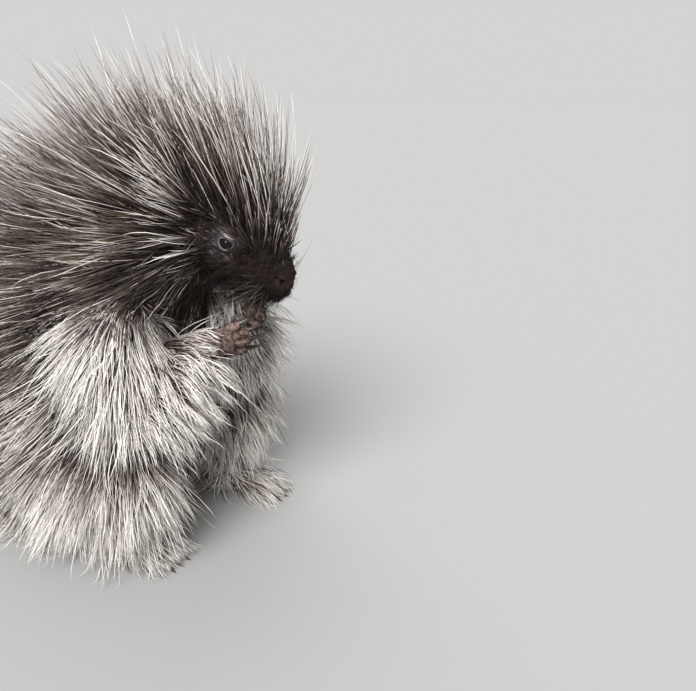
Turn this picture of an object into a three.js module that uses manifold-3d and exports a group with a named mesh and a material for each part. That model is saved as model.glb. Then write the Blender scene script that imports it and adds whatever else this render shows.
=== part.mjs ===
// A life-size North American porcupine that sits on its haunches with both forepaws raised to
// its mouth. Millimetres: +X is the way it faces, +Y is its left and +Z is up, and the origin is
// the middle of its seat, on the floor.
//
// The flesh is made of lofts: rings of an ellipse along a smooth line through a few stations.
// Its surface is the dense underfur, a little outside the skin. The long coat is flat, tapered
// locks and round quills, rooted in the flesh and laid along the lie of the coat.

import * as THREE from "three";
import { mergeVertices } from "three/addons/utils/BufferGeometryUtils.js";
import Module from "manifold-3d";

const wasm = await Module();
wasm.setup();

// Sizes

const GAP = 0.3; // between solids that touch
const COAT_FLOOR = 1.5; // height of the lowest hair tips
const RIGHT = -1;
const LEFT = 1;

// The head is drawn in its own frame: forward, left and up from the point between the eyes.
const HEAD_AT = [192, 0, 343];
const HEAD_PITCH = 22; // degrees, nose down

const MOUTH_UP = -33; // the line of the mouth
const MOUTH_BACK = 20; // its corners
const LIP_RADIUS = 1.8;
const NOSTRIL = [60, 6.5, -17];
const NOSTRIL_SIZE = [4, 1.6, 2.6];

const EYE = [0, 31, 0];
const EYE_LOOK = [0.25, 1, 0.15]; // the way the eye looks
const EYE_RADIUS = 6.8;
const LID_RING = 6.6;
const LID_THICK = 2.2;
const LID_OUT = 3.2; // how far the rim stands out from the eye's centre

const EAR = [-36, 36, 12];
const EAR_SIZE = [8, 11, 16]; // half sizes: deep, wide, high
const EAR_WALL = 2.4;
const EAR_TURN = 0.9; // radians, the opening out to the side
const EAR_LEAN = 0.35; // radians, the top out to the side

// Joints of the legs, given for the left side, with what the left side differs by
const SHOULDER = [82, 66, 262];
const ELBOW = [105, 88, 165];
const WRIST = [143, 46, 232];
const FINGERS = [181, 21, 240];
const HIP = [8, 68, 82];
const KNEE = [100, 92, 122];
const ANKLE = [56, 78, 30];
const HEEL = [40, 76, 14];
const TOES = [112, 82, 10];
const LEFT_ELBOW_OFFSET = [8, 0, 4];
const LEFT_HAND_OFFSET = [6, 2, 20];
const LEFT_KNEE_OFFSET = [14, -2, 4];
const LEFT_FOOT_OFFSET = [32, -2, 0];

const FORE_CLAW = 19;
const HIND_CLAW = 21;
const CLAW_RADIUS = 3;

// The coat fans out from these points
const FACE_FAN = [215, 0, 325]; // hair of cheeks and flanks
const RIDGE_FAN = [203, 0, 205]; // hair of crown, nape and back
const ARM_FAN = [108, 60, 318];
const HAND_FAN = [122, 58, 292];
const LEG_FAN = [62, 62, 190];

const CREST_LONG = 138;
const FLANK_LONG = 108;
const BACK_LONG = 192;
const NAPE_LONG = 165;
const ARM_LONG = 105;
const LOCK_WIDE = 13; // half of a lock's width
const LOCK_THICK = 2.4;
const ROOT_DEPTH = 12;
const QUILL_LONG = 62;
const QUILL_THICK = 1.7;

// Stations of each loft: x, y, z, half width, half depth
const TORSO = [
  [-14, 0, 0, 62, 58],
  [-14, 0, 34, 96, 90],
  [-12, 0, 90, 108, 104],
  [-2, 0, 150, 106, 106],
  [14, 0, 208, 96, 100],
  [38, 0, 258, 84, 92],
  [72, 0, 296, 68, 76],
  [100, 0, 318, 48, 52],
];
const NECK = [
  [72, 0, 290, 60, 54],
  [104, 0, 322, 56, 52],
  [134, 0, 346, 48, 46],
  [160, 0, 352, 36, 34],
];
const TAIL = [
  [-72, 0, 46, 36, 38],
  [-104, 0, 38, 38, 39],
  [-160, 4, 29, 33, 32],
  [-220, 12, 22, 26, 25],
  [-262, 21, 15, 18, 18],
  [-284, 27, 8, 9, 10],
];
// The head's stations, in its own frame
const HEAD = [
  [-62, 0, 0, 14, 14],
  [-52, 0, -2, 33, 31],
  [-26, 0, -6, 39, 37],
  [0, 0, -11, 37, 38],
  [22, 0, -17, 30, 34],
  [40, 0, -21, 24, 26],
  [51, 0, -22, 20, 20],
  [58, 0, -22, 14, 14],
  [61, 0, -22, 6, 6],
];

// Small tools

const vec = (x, y, z) => new THREE.Vector3(x, y, z);
const UP = vec(0, 0, 1);
const DOWN = vec(0, 0, -1);
const BACK = vec(-1, 0, 0);
const { degToRad, smoothstep, clamp } = THREE.MathUtils;

// A seeded draw between 0 and 1, the same on every run
let seed = 20;
function draw() {
  seed = (seed * 1664525 + 1013904223) % 2 ** 32;
  return seed / 2 ** 32;
}
const vary = (share) => 1 + share * (2 * draw() - 1);
const mixed = (a, b, share) => a.clone().multiplyScalar(1 - share).addScaledVector(b, share).normalize();

// The closed solid of a geometry, with its shared corners merged
function solidOf(geometry) {
  const bare = geometry.clone();
  bare.deleteAttribute("normal");
  bare.deleteAttribute("uv");
  const merged = mergeVertices(bare, 1e-4);
  return new wasm.Manifold(
    new wasm.Mesh({
      numProp: 3,
      vertProperties: merged.attributes.position.array,
      triVerts: new Uint32Array(merged.index.array),
    }),
  );
}

function geometryOf(solid) {
  const mesh = solid.getMesh();
  const geometry = new THREE.BufferGeometry();
  geometry.setAttribute("position", new THREE.BufferAttribute(mesh.vertProperties, 3));
  geometry.setIndex(new THREE.BufferAttribute(mesh.triVerts, 1));
  const flat = geometry.toNonIndexed();
  flat.computeVertexNormals();
  return flat;
}

const joined = (solids) => wasm.Manifold.union(solids);

// The largest closed surface of a solid, without loose scraps or sealed hollows
function largest(solid) {
  return solid.decompose().reduce((a, b) => (a.volume() >= b.volume() ? a : b));
}

// A closed solid through rings of points, between two end points
function throughRings(rings, first, last) {
  const sides = rings[0].length;
  const points = [...rings.flat(), first, last];
  const end = (rings.length - 1) * sides;
  const faces = [];
  for (let j = 0; j < sides; j++) {
    const k = (j + 1) % sides;
    for (let base = 0; base < end; base += sides) {
      faces.push([base + j, base + k, base + sides + k], [base + j, base + sides + k, base + sides + j]);
    }
    faces.push([k, j, points.length - 2], [end + j, end + k, points.length - 1]);
  }
  const geometry = new THREE.BufferGeometry().setFromPoints(points);
  geometry.setIndex(faces.flat());
  return solidOf(geometry);
}

const LOFT_ENDS = 0.3; // how far a loft's ends bulge, as a share of their depth
const SMALL_STEP = 0.01;

// A smooth body of elliptical rings along a curve through its stations
class Loft {
  constructor(stations, { sides, rings, across = vec(0, 1, 0), place, bulge = LOFT_ENDS }) {
    Object.assign(this, { sides, rings, across, bulge });
    const centres = stations.map(([x, y, z]) => vec(x, y, z));
    if (place) centres.forEach((centre) => centre.applyMatrix4(place));
    this.centres = new THREE.CatmullRomCurve3(centres);
    const sizes = stations.map(([, , , wide, deep]) => vec(wide, deep, 0));
    this.sizes = new THREE.CatmullRomCurve3(sizes, false, "catmullrom");
  }

  frame(t) {
    const along = this.centres.getTangent(t);
    const side = this.across.clone().addScaledVector(along, -along.dot(this.across)).normalize();
    const size = this.sizes.getPoint(t);
    const up = along.clone().cross(side);
    return { centre: this.centres.getPoint(t), along, side, up, wide: size.x, deep: size.y };
  }

  // Angle 0 is the side and a quarter turn is the loft's upper side.
  point(t, angle, grow = 0) {
    const { centre, side, up, wide, deep } = this.frame(t);
    centre.addScaledVector(side, (wide + grow) * Math.cos(angle));
    return centre.addScaledVector(up, (deep + grow) * Math.sin(angle));
  }

  normal(t, angle) {
    const [before, after] = [Math.max(t - SMALL_STEP, 0), Math.min(t + SMALL_STEP, 1)];
    const along = this.point(after, angle).sub(this.point(before, angle));
    const round = this.point(t, angle + SMALL_STEP).sub(this.point(t, angle - SMALL_STEP));
    return round.cross(along).normalize();
  }

  solid(grow) {
    const ring = (t) =>
      Array.from({ length: this.sides }, (_, j) => this.point(t, (2 * Math.PI * j) / this.sides, grow));
    const rings = Array.from({ length: this.rings + 1 }, (_, i) => ring(i / this.rings));
    const [start, end] = [this.frame(0), this.frame(1)];
    return throughRings(
      rings,
      start.centre.addScaledVector(start.along, -start.deep * this.bulge - grow),
      end.centre.addScaledVector(end.along, end.deep * this.bulge + grow),
    );
  }
}

// A tube along a line of points, with a radius for each
function tube(points, radii, options) {
  const stations = points.map((point, i) => [...point.toArray(), radii[i], radii[i]]);
  return new Loft(stations, { sides: 5, rings: 3, bulge: 0, ...options });
}

function ellipsoid(centre, sizes, turn, [around, over]) {
  const ball = new THREE.SphereGeometry(1, around, over);
  ball.scale(...sizes);
  ball.applyMatrix4(turn);
  ball.translate(...centre.toArray());
  return solidOf(ball);
}

function floorBelow(height) {
  const size = 2000;
  const slab = new THREE.BoxGeometry(size, size, size);
  slab.translate(0, 0, height - size / 2);
  return solidOf(slab);
}

// Where things are

const headTurn = new THREE.Matrix4().makeRotationY(degToRad(HEAD_PITCH));
const headPlace = new THREE.Matrix4().makeTranslation(...HEAD_AT).multiply(headTurn);
const onHead = (x, y, z) => vec(x, y, z).applyMatrix4(headPlace);
const headWay = (x, y, z) => vec(x, y, z).transformDirection(headPlace);

const sideName = (side) => (side === LEFT ? "left" : "right");

// A place on one side of the body, with the left side's offset
function joint([x, y, z], side, offset) {
  const place = vec(x, side * y, z);
  return side === LEFT && offset ? place.add(vec(...offset)) : place;
}

// The parts: `flesh` gives a part's lofts as solids at any growth, and `coats` lays its hair

const flesh = new Map();
const coats = new Map();
const part = (name, solidsAt) => flesh.set(name, (grow) => joined(solidsAt(grow)));
const coat = (name, hairs) => coats.set(name, hairs);
const grown = (lofts) => (grow) => lofts.map((loft) => loft.solid(grow));

// Eyes, and the rims of their lids

const eyeCentre = (side) => onHead(EYE[0], side * EYE[1], EYE[2]);
const eyeWay = (side) => headWay(EYE_LOOK[0], side * EYE_LOOK[1], EYE_LOOK[2]);

function eyeball(side, grow) {
  const size = EYE_RADIUS + grow;
  return ellipsoid(eyeCentre(side), [size, size, size], headTurn, [10, 7]);
}

// A rim of the lids: a ring on the eyeball, a little longer than high
function lids(side, grow) {
  const ring = new THREE.TorusGeometry(LID_RING, LID_THICK + grow, 4, 10);
  ring.scale(1.08, 0.92, 1);
  ring.applyQuaternion(new THREE.Quaternion().setFromUnitVectors(UP, eyeWay(side)));
  ring.translate(...eyeCentre(side).addScaledVector(eyeWay(side), LID_OUT).toArray());
  return solidOf(ring);
}

// The head, parted from the lower jaw along the line of the mouth

const head = new Loft(HEAD, { sides: 14, rings: 12, place: headPlace });
const headBall = ([x, y, z], sizes, detail, grow) =>
  ellipsoid(
    onHead(x, y, z),
    sizes.map((size) => size + grow),
    headTurn,
    detail,
  );

// All that lies below the line of the mouth and ahead of its corners
function jawRegion(grow) {
  const reach = 120;
  const box = new THREE.BoxGeometry(reach + 2 * grow, reach + 2 * grow, reach + 2 * grow);
  box.translate(MOUTH_BACK + reach / 2, 0, MOUTH_UP - reach / 2);
  box.applyMatrix4(headPlace);
  return solidOf(box);
}

// Both lips' rolls along the head's surface, from the corner of the mouth to its middle
function lips(lift, inset, grow) {
  const reach = [MOUTH_BACK, 36, 50, 57, 58.5];
  const wide = [28, 24.5, 18, 9, 0];
  const radii = [1, LIP_RADIUS, LIP_RADIUS, LIP_RADIUS, LIP_RADIUS].map((radius) => radius + grow);
  return [RIGHT, LEFT].map((side) => {
    const line = reach.map((ahead, i) => onHead(ahead - inset, side * wide[i], MOUTH_UP + lift));
    return tube(line, radii, { sides: 4, rings: 5, across: headWay(0, 0, 1), bulge: LOFT_ENDS }).solid(0);
  });
}

const noseAndLipPads = (grow) => [
  headBall([53, 0, -16], [8, 13, 8], [9, 6], grow),
  headBall([47, 11, -25], [9, 8, 7], [9, 6], grow),
  headBall([47, -11, -25], [9, 8, 7], [9, 6], grow),
];

const nostrils = () =>
  [RIGHT, LEFT].map((side) =>
    headBall([NOSTRIL[0], side * NOSTRIL[1], NOSTRIL[2]], NOSTRIL_SIZE, [6, 4], 0),
  );

for (const side of [RIGHT, LEFT]) part(`eye_${sideName(side)}`, (grow) => [eyeball(side, grow)]);

part("lower_jaw", (grow) => [
  joined([head.solid(grow), ...lips(-LIP_RADIUS, 0.6, grow)]).intersect(jawRegion(grow)),
]);

part("head", (grow) => {
  const rims = [lids(RIGHT, grow), lids(LEFT, grow)];
  const face = joined([head.solid(grow), ...noseAndLipPads(grow), ...lips(LIP_RADIUS, 0, grow), ...rims]);
  return [grow ? face : face.subtract(joined(nostrils()))];
});

// Ears: short cups that open forward and to the side

function earCup(side, grow) {
  const turn = headTurn
    .clone()
    .multiply(new THREE.Matrix4().makeRotationZ(side * EAR_TURN))
    .multiply(new THREE.Matrix4().makeRotationX(-side * EAR_LEAN));
  const centre = onHead(EAR[0], side * EAR[1], EAR[2]);
  const outer = ellipsoid(centre, EAR_SIZE.map((size) => size + grow), turn, [9, 6]);
  if (grow) return outer;
  const opening = vec(EAR_SIZE[0], 0, 2).applyMatrix4(turn).multiplyScalar(0.75).add(centre);
  const hollow = EAR_SIZE.map((size) => size - EAR_WALL);
  return outer.subtract(ellipsoid(opening, hollow, turn, [9, 6]));
}
for (const side of [RIGHT, LEFT]) part(`ear_${sideName(side)}`, (grow) => [earCup(side, grow)]);

// Trunk and tail

const torso = new Loft(TORSO, { sides: 16, rings: 9 });
const neck = new Loft(NECK, { sides: 12, rings: 4 });
const tail = new Loft(TAIL, { sides: 10, rings: 7 });
part("torso", grown([torso]));
part("neck", grown([neck]));
part("tail", grown([tail]));

// Hair: flat locks and round quills, rooted in a loft

// Roots a spacing apart: rings along the loft, and places round each ring, every other ring set
// off by half a step. The spans are shares of the loft and angles in degrees.
function roots(loft, spacing, [fromT, toT], arc) {
  const [first, last] = arc.map(degToRad);
  const rings = Math.max(1, Math.round((loft.centres.getLength() * (toT - fromT)) / spacing));
  return Array.from({ length: rings + 1 }, (_, ring) => {
    const t = fromT + ((toT - fromT) * ring) / rings;
    const { wide, deep } = loft.frame(t);
    const places = Math.max(1, Math.round(((last - first) * (wide + deep)) / 2 / spacing));
    const shift = ring % 2 ? 0.75 : 0.25;
    return Array.from({ length: places }, (__, place) => ({
      t,
      angle: first + ((last - first) * (place + shift)) / places,
    }));
  }).flat();
}

// Points of the coat, lifted together until none is lower than the lowest tips
function aboveFloor(points) {
  const lift = Math.max(0, COAT_FLOOR - Math.min(...points.map(({ z }) => z)));
  points.forEach((point) => point.setZ(point.z + lift));
  return points;
}

// A triangle round a point of a hair: two edges, and a keel on its upper side
const section = (centre, side, face, wide, thick) => [
  centre.clone().addScaledVector(side, wide).addScaledVector(face, -0.4 * thick),
  centre.clone().addScaledVector(face, thick),
  centre.clone().addScaledVector(side, -wide).addScaledVector(face, -0.4 * thick),
];

function centreOf(points) {
  return points.reduce((sum, point) => sum.add(point), vec(0, 0, 0)).divideScalar(points.length);
}

// A flat lock: it leaves the skin along `out`, bends to `lie` and tapers to its tip.
function lock({ root, normal, out, lie, long, wide, thick, roll }, grow) {
  const across = out.clone().cross(lie);
  if (across.length() < 0.15) across.copy(lie).cross(UP);
  across.normalize().applyAxisAngle(lie, roll);
  const turned = mixed(out, lie, 0.6);
  const sunk = root.clone().addScaledVector(normal, -ROOT_DEPTH).addScaledVector(out, -2);
  const middle = root.clone().addScaledVector(out, long * 0.36);
  const bend = middle.clone().addScaledVector(turned, long * 0.34);
  const tip = bend.clone().addScaledVector(lie, long * 0.32 + grow);
  const rings = [
    { centre: sunk, along: out, wideShare: 0.75, thickShare: 1.1 },
    { centre: middle, along: turned, wideShare: 1, thickShare: 1 },
    { centre: bend, along: lie, wideShare: 0.8, thickShare: 0.75 },
  ].map(({ centre, along, wideShare, thickShare }) => {
    const side = across.clone().addScaledVector(along, -along.dot(across)).normalize();
    const face = along.clone().cross(side);
    return aboveFloor(section(centre, side, face, wide * wideShare + 2 * grow, thick * thickShare + grow));
  });
  return throughRings(rings, centreOf(rings[0]), ...aboveFloor([tip]));
}

// A quill: a straight round spine of three sides that narrows to its point
function quill({ root, out, long, thick }, grow) {
  const across = out.clone().cross(UP).normalize();
  const face = out.clone().cross(across);
  const ring = (ahead, radius) => {
    const centre = root.clone().addScaledVector(out, ahead);
    return aboveFloor(section(centre, across, face, radius, radius));
  };
  const rings = [ring(-ROOT_DEPTH, thick + grow), ring(long * 0.6, thick * 0.85 + grow)];
  const tip = root.clone().addScaledVector(out, long + grow);
  return throughRings(rings, centreOf(rings[0]), ...aboveFloor([tip]));
}

// Hair laid round a loft, each as a draw that strays more with every attempt. `lie` gives the way
// of the coat and its length at a point of the skin.
function tufts(loft, { spacing, span, arc, lie, shape = lock, wide = LOCK_WIDE, thick = LOCK_THICK }) {
  return roots(loft, spacing, span, arc).map((place) => (attempt) => {
    const shake = 0.16 + 0.09 * attempt;
    const t = clamp(place.t + (shake * spacing * (draw() - 0.5)) / 60, 0.02, 0.98);
    const angle = place.angle + shake * 1.2 * (draw() - 0.5);
    const root = loft.point(t, angle);
    const normal = loft.normal(t, angle);
    const way = lie(root, normal);
    const stray = vec(draw() - 0.5, draw() - 0.5, draw() - 0.5).multiplyScalar(shake * 0.9);
    return {
      shape,
      root,
      normal,
      out: way.out.clone().add(stray).normalize(),
      lie: way.lie.clone().add(stray).normalize(),
      long: way.long * vary(0.14) * (1 - 0.07 * attempt),
      wide: wide * vary(0.2),
      thick,
      roll: 0.7 * (draw() - 0.5),
    };
  });
}

// The lie of the coat at a point: away from a fan's centre, standing out by a share, dropping by
// another from the root on, and falling and swept back by others towards the tips. Each may be a
// function of the point and its normal.
function fanned(fan, { stand, fall, long, drop = 0, sweep = 0 }) {
  const at = (given, point, normal) => (typeof given === "function" ? given(point, normal) : given);
  return (point, normal) => {
    const away = point.clone().sub(at(fan, point, normal)).normalize();
    const rise = at(stand, point, normal);
    const lie = away.clone().addScaledVector(normal, rise * 0.2);
    lie.addScaledVector(DOWN, at(fall, point, normal)).addScaledVector(BACK, sweep);
    away.addScaledVector(normal, rise).addScaledVector(DOWN, at(drop, point, normal));
    return {
      out: away.normalize(),
      lie: lie.normalize(),
      long: at(long, point, normal),
    };
  };
}

// How far a place is on the ridge of the back and crown, from 0 to 1
const ridge = (normal) => clamp(-0.55 * normal.x + 0.85 * normal.z, 0, 1);

const trunkFan = (_, normal) => vec(...FACE_FAN).lerp(vec(...RIDGE_FAN), ridge(normal));
const lowerBack = (point, normal) => ridge(normal) * (1 - smoothstep(point.z, 140, 300));
const trunkLie = fanned(trunkFan, {
  stand: 0.5,
  drop: (point, normal) => 0.55 * lowerBack(point, normal),
  fall: (point, normal) => 0.25 + 1.1 * lowerBack(point, normal),
  long: (point, normal) => {
    const ridgeLong = BACK_LONG + (NAPE_LONG - BACK_LONG) * smoothstep(point.x, 60, 120);
    return FLANK_LONG + (ridgeLong - FLANK_LONG) * ridge(normal) * smoothstep(point.z, 60, 330);
  },
});
const bellyLie = fanned(vec(...FACE_FAN), { stand: 0.5, fall: 0.6, long: 52 });
const crownLie = fanned(vec(...RIDGE_FAN), {
  stand: 0.3,
  fall: 0.05,
  sweep: 0.3,
  long: (point) => CREST_LONG - 20 * smoothstep(point.x, 192, 235),
});
const cheekLie = fanned(vec(...FACE_FAN), { stand: 0.35, fall: 0.1, long: 74 });
const tailLie = (_, normal) => ({
  out: mixed(vec(-1, 0.12, 0), normal, 0.38),
  lie: mixed(vec(-1, 0.16, -0.1), normal, 0.1),
  long: 68,
});
const quillLie = fanned(trunkFan, { stand: 0.8, fall: 0, long: QUILL_LONG });
const footLie = (_, normal) => ({
  out: mixed(vec(1, 0, 0.1), normal, 0.45),
  lie: mixed(vec(1, 0, -0.5), normal, 0.15),
  long: 42,
});
const quills = { shape: quill, thick: QUILL_THICK };

coat("head", () => [
  ...tufts(head, { spacing: 17, span: [0.12, 0.57], arc: [38, 142], lie: crownLie, wide: 10 }),
  ...tufts(head, { spacing: 18, span: [0.1, 0.24], arc: [-40, 30], lie: cheekLie, wide: 9 }),
  ...tufts(head, { spacing: 18, span: [0.1, 0.24], arc: [150, 220], lie: cheekLie, wide: 9 }),
]);
coat("neck", () => [
  ...tufts(neck, { spacing: 24, span: [0.08, 0.9], arc: [-35, 215], lie: trunkLie, wide: 13 }),
  ...tufts(neck, { spacing: 34, span: [0.2, 0.85], arc: [235, 305], lie: bellyLie }),
]);
coat("tail", () => [
  ...tufts(tail, { spacing: 33, span: [0.15, 0.97], arc: [-15, 195], lie: tailLie, wide: 11 }),
  ...tufts(tail, { spacing: 30, span: [0.2, 0.95], arc: [20, 160], lie: tailLie, ...quills }),
]);

// Legs and paws

// A length of leg between two joints, thick at the first, with a muscle's bulge
function limb(from, to, [thickFrom, muscle, thickTo]) {
  const at = (share, size) => [...from.clone().lerp(to, share).toArray(), size, size];
  const stations = [
    at(-0.22, thickFrom * 0.55),
    at(0, thickFrom),
    at(0.4, muscle),
    at(0.85, thickTo * 1.05),
    at(1.1, thickTo * 0.6),
  ];
  return new Loft(stations, { sides: 9, rings: 4 });
}

// The places of a paw's digits, side by side from its front edge: the outer ones are shorter,
// and all curl a little.
function digitPlaces({ count, base, forward, across, curl, spread, long }) {
  return Array.from({ length: count }, (_, i) => {
    const share = (2 * i) / (count - 1) - 1;
    const length = long * (1 - 0.16 * share * share);
    const way = forward.clone().addScaledVector(across, 0.22 * share).normalize();
    const root = base.clone().addScaledVector(across, spread * share);
    root.addScaledVector(forward, -4 * share * share);
    const at = (ahead, drop) =>
      root.clone().addScaledVector(way, length * ahead).addScaledVector(curl, length * drop);
    return { way, line: [at(-0.4, 0), root, at(0.55, 0.04), at(0.95, 0.2)] };
  });
}

// A claw: a curved cone that starts a gap ahead of the digit's tip
function claw({ way, line }, { curl, clawLong, across }) {
  const tip = line.at(-1);
  const at = (ahead, drop) =>
    tip
      .clone()
      .addScaledVector(way, clawLong * ahead + GAP)
      .addScaledVector(curl, clawLong * drop);
  const radii = [1, 0.9, 0.62, 0.28, 0.08].map((share) => CLAW_RADIUS * share);
  return tube([at(0.01, 0), at(0.3, 0.04), at(0.62, 0.13), at(0.92, 0.3), at(1, 0.38)], radii, { across });
}

function paw(name, clawName, side, shape) {
  const places = digitPlaces(shape);
  const radii = [0.8, 1, 0.95, 0.66].map((share) => shape.thick * share);
  const fingers = places.map(({ line }) => tube(line, radii, { rings: 2, across: shape.across }));
  part(`${name}_${sideName(side)}`, grown([shape.pad, ...fingers]));
  places.forEach((place, i) => {
    part(`${clawName}_${i + 1}_${sideName(side)}`, grown([claw(place, shape)]));
  });
}

function foreLeg(side) {
  const name = sideName(side);
  const shoulder = joint(SHOULDER, side);
  const elbow = joint(ELBOW, side, LEFT_ELBOW_OFFSET);
  const wrist = joint(WRIST, side, LEFT_HAND_OFFSET);
  const base = joint(FINGERS, side, LEFT_HAND_OFFSET);
  const forward = base.clone().sub(wrist).normalize();
  const inward = vec(0, -side, 0.35);
  inward.addScaledVector(forward, -inward.dot(forward)).normalize();
  const across = forward.clone().cross(inward).normalize();
  const palm = [
    [-0.45, 11, 9],
    [0, 14, 11],
    [0.5, 17, 10.5],
    [1.05, 14, 8],
  ].map(([share, wide, deep]) => [...wrist.clone().lerp(base, share).toArray(), wide, deep]);
  paw("forepaw", "fore_claw", side, {
    count: 4,
    base,
    forward,
    across,
    curl: inward,
    spread: 12,
    long: 21,
    thick: 5.2,
    clawLong: FORE_CLAW,
    pad: new Loft(palm, { sides: 10, rings: 3, across }),
  });
  const lower = limb(elbow, wrist, [25, 23, 14]);
  const upper = limb(shoulder, elbow, [38, 33, 25]);
  part(`forearm_${name}`, grown([lower]));
  part(`upper_arm_${name}`, grown([upper]));
  const armLie = fanned(joint(ARM_FAN, side), { stand: 0.4, fall: 0.2, long: ARM_LONG });
  const handLie = fanned(joint(HAND_FAN, side, LEFT_HAND_OFFSET), { stand: 0.4, fall: 0.45, long: 82 });
  coat(`upper_arm_${name}`, () =>
    tufts(upper, { spacing: 27, span: [0.08, 0.9], arc: [0, 360], lie: armLie, wide: 12 }),
  );
  coat(`forearm_${name}`, () =>
    tufts(lower, { spacing: 24, span: [0.25, 0.95], arc: [0, 360], lie: handLie, wide: 9 }),
  );
}

function hindLeg(side) {
  const name = sideName(side);
  const hip = joint(HIP, side);
  const knee = joint(KNEE, side, LEFT_KNEE_OFFSET);
  const ankle = joint(ANKLE, side, LEFT_FOOT_OFFSET);
  const heel = joint(HEEL, side, LEFT_FOOT_OFFSET);
  const toes = joint(TOES, side, LEFT_FOOT_OFFSET);
  const sole = [
    [-0.16, 13, 10, 9],
    [0, 15, 16, 15],
    [0.45, 15, 19, 17],
    [0.85, 11, 21, 13],
    [1.02, 8, 19, 9],
  ].map(([share, z, wide, deep]) => [...heel.clone().lerp(toes, share).setZ(z).toArray(), wide, deep]);
  const foot = new Loft(sole, { sides: 10, rings: 4 });
  paw("hind_foot", "hind_claw", side, {
    count: 5,
    base: toes.clone().setZ(8),
    forward: toes.clone().sub(heel).setZ(0).normalize(),
    across: vec(0, 1, 0),
    curl: DOWN,
    spread: 16,
    long: 20,
    thick: 5,
    clawLong: HIND_CLAW,
    pad: foot,
  });
  const lower = limb(knee, ankle, [30, 26, 18]);
  const upper = limb(hip, knee, [52, 46, 32]);
  part(`shin_${name}`, grown([lower]));
  part(`thigh_${name}`, grown([upper]));
  const legLie = fanned(joint(LEG_FAN, side, LEFT_KNEE_OFFSET), { stand: 0.35, fall: 0.35, long: 92 });
  coat(`shin_${name}`, () =>
    tufts(lower, { spacing: 26, span: [0.15, 0.9], arc: [0, 360], lie: legLie, wide: 10 }),
  );
  coat(`thigh_${name}`, () =>
    tufts(upper, { spacing: 30, span: [0.2, 0.9], arc: [0, 360], lie: legLie, wide: 12 }),
  );
  coat(`hind_foot_${name}`, () =>
    tufts(foot, { spacing: 24, span: [0.45, 0.75], arc: [20, 160], lie: footLie, wide: 6 }),
  );
}

for (const side of [RIGHT, LEFT]) {
  foreLeg(side);
  hindLeg(side);
}

coat("torso", () => [
  ...tufts(torso, { spacing: 35, span: [0.6, 0.97], arc: [0, 180], lie: trunkLie, wide: 16 }),
  ...tufts(torso, { spacing: 48, span: [0.08, 0.55], arc: [-10, 190], lie: trunkLie, wide: 21 }),
  ...tufts(torso, { spacing: 75, span: [0.3, 0.8], arc: [215, 325], lie: bellyLie }),
  ...tufts(torso, { spacing: 56, span: [0.1, 0.9], arc: [45, 135], lie: quillLie, ...quills }),
]);

// Solids that stay clear of each other: flesh gives way to the flesh made before it, and a hair
// is drawn again until it is clear of all other flesh and of other parts' hair.

const names = [...flesh.keys()];
const roomy = new Map(names.map((name) => [name, flesh.get(name)(GAP)]));

function boxOf(solid) {
  const { min, max } = solid.boundingBox();
  return new THREE.Box3(vec(...min), vec(...max));
}
const obstacles = names.map((name) => ({ name, solid: roomy.get(name), box: boxOf(roomy.get(name)) }));

function isClear(solid, name) {
  const box = boxOf(solid);
  return obstacles.every(
    (other) =>
      other.name === name || !other.box.intersectsBox(box) || solid.intersect(other.solid).isEmpty(),
  );
}

const ATTEMPTS = 12;

function hairOf(name) {
  const hairs = [];
  for (const drawHair of coats.get(name)()) {
    for (let attempt = 0; attempt < ATTEMPTS; attempt++) {
      const hair = drawHair(attempt);
      const solid = hair.shape(hair, 0);
      if (!isClear(solid, name)) continue;
      const roomyHair = hair.shape(hair, GAP);
      hairs.push(solid);
      obstacles.push({ name, solid: roomyHair, box: boxOf(roomyHair) });
      break;
    }
  }
  return hairs;
}

const hair = new Map([...coats.keys()].map((name) => [name, hairOf(name)]));
const floor = floorBelow(0);

function solidPart(name, i) {
  const earlier = names.slice(0, i).map((other) => roomy.get(other));
  const body = flesh.get(name)(0).subtract(joined([floor, ...earlier]));
  return hair.has(name) ? largest(joined([largest(body), ...hair.get(name)])) : largest(body);
}

// The finished model

// The finish of each part, by what its name starts with
const FINISHES = [
  { of: /^eye/, color: 0x060607, roughness: 0.05 },
  { of: /claw/, color: 0x1b1714, roughness: 0.35 },
  { of: /^(head|lower_jaw|ear)/, color: 0x2e231f, roughness: 0.9 },
  { of: /^(forepaw|hind_foot)/, color: 0x4f3b34, roughness: 0.75 },
  { of: /./, color: 0x7d736b, roughness: 0.9 },
];

const group = new THREE.Group();
names.forEach((name, i) => {
  const { color, roughness } = FINISHES.find((finish) => finish.of.test(name));
  const material = new THREE.MeshStandardMaterial({ color, roughness, metalness: 0 });
  const mesh = new THREE.Mesh(geometryOf(solidPart(name, i)), material);
  mesh.name = name;
  group.add(mesh);
});

export default group;
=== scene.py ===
"""Looks of a life-size North American porcupine that sits on its haunches with both forepaws
raised to its mouth.

The script works in millimetres in the part's frame: +X is the way the animal faces, +Y is its
left and +Z is up. Meshes are written in metres. One skin stands for all nodes of flesh and lies
inside them. The coat is many thin tapered tufts rooted on that skin.
"""

import math
from types import SimpleNamespace

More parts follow.
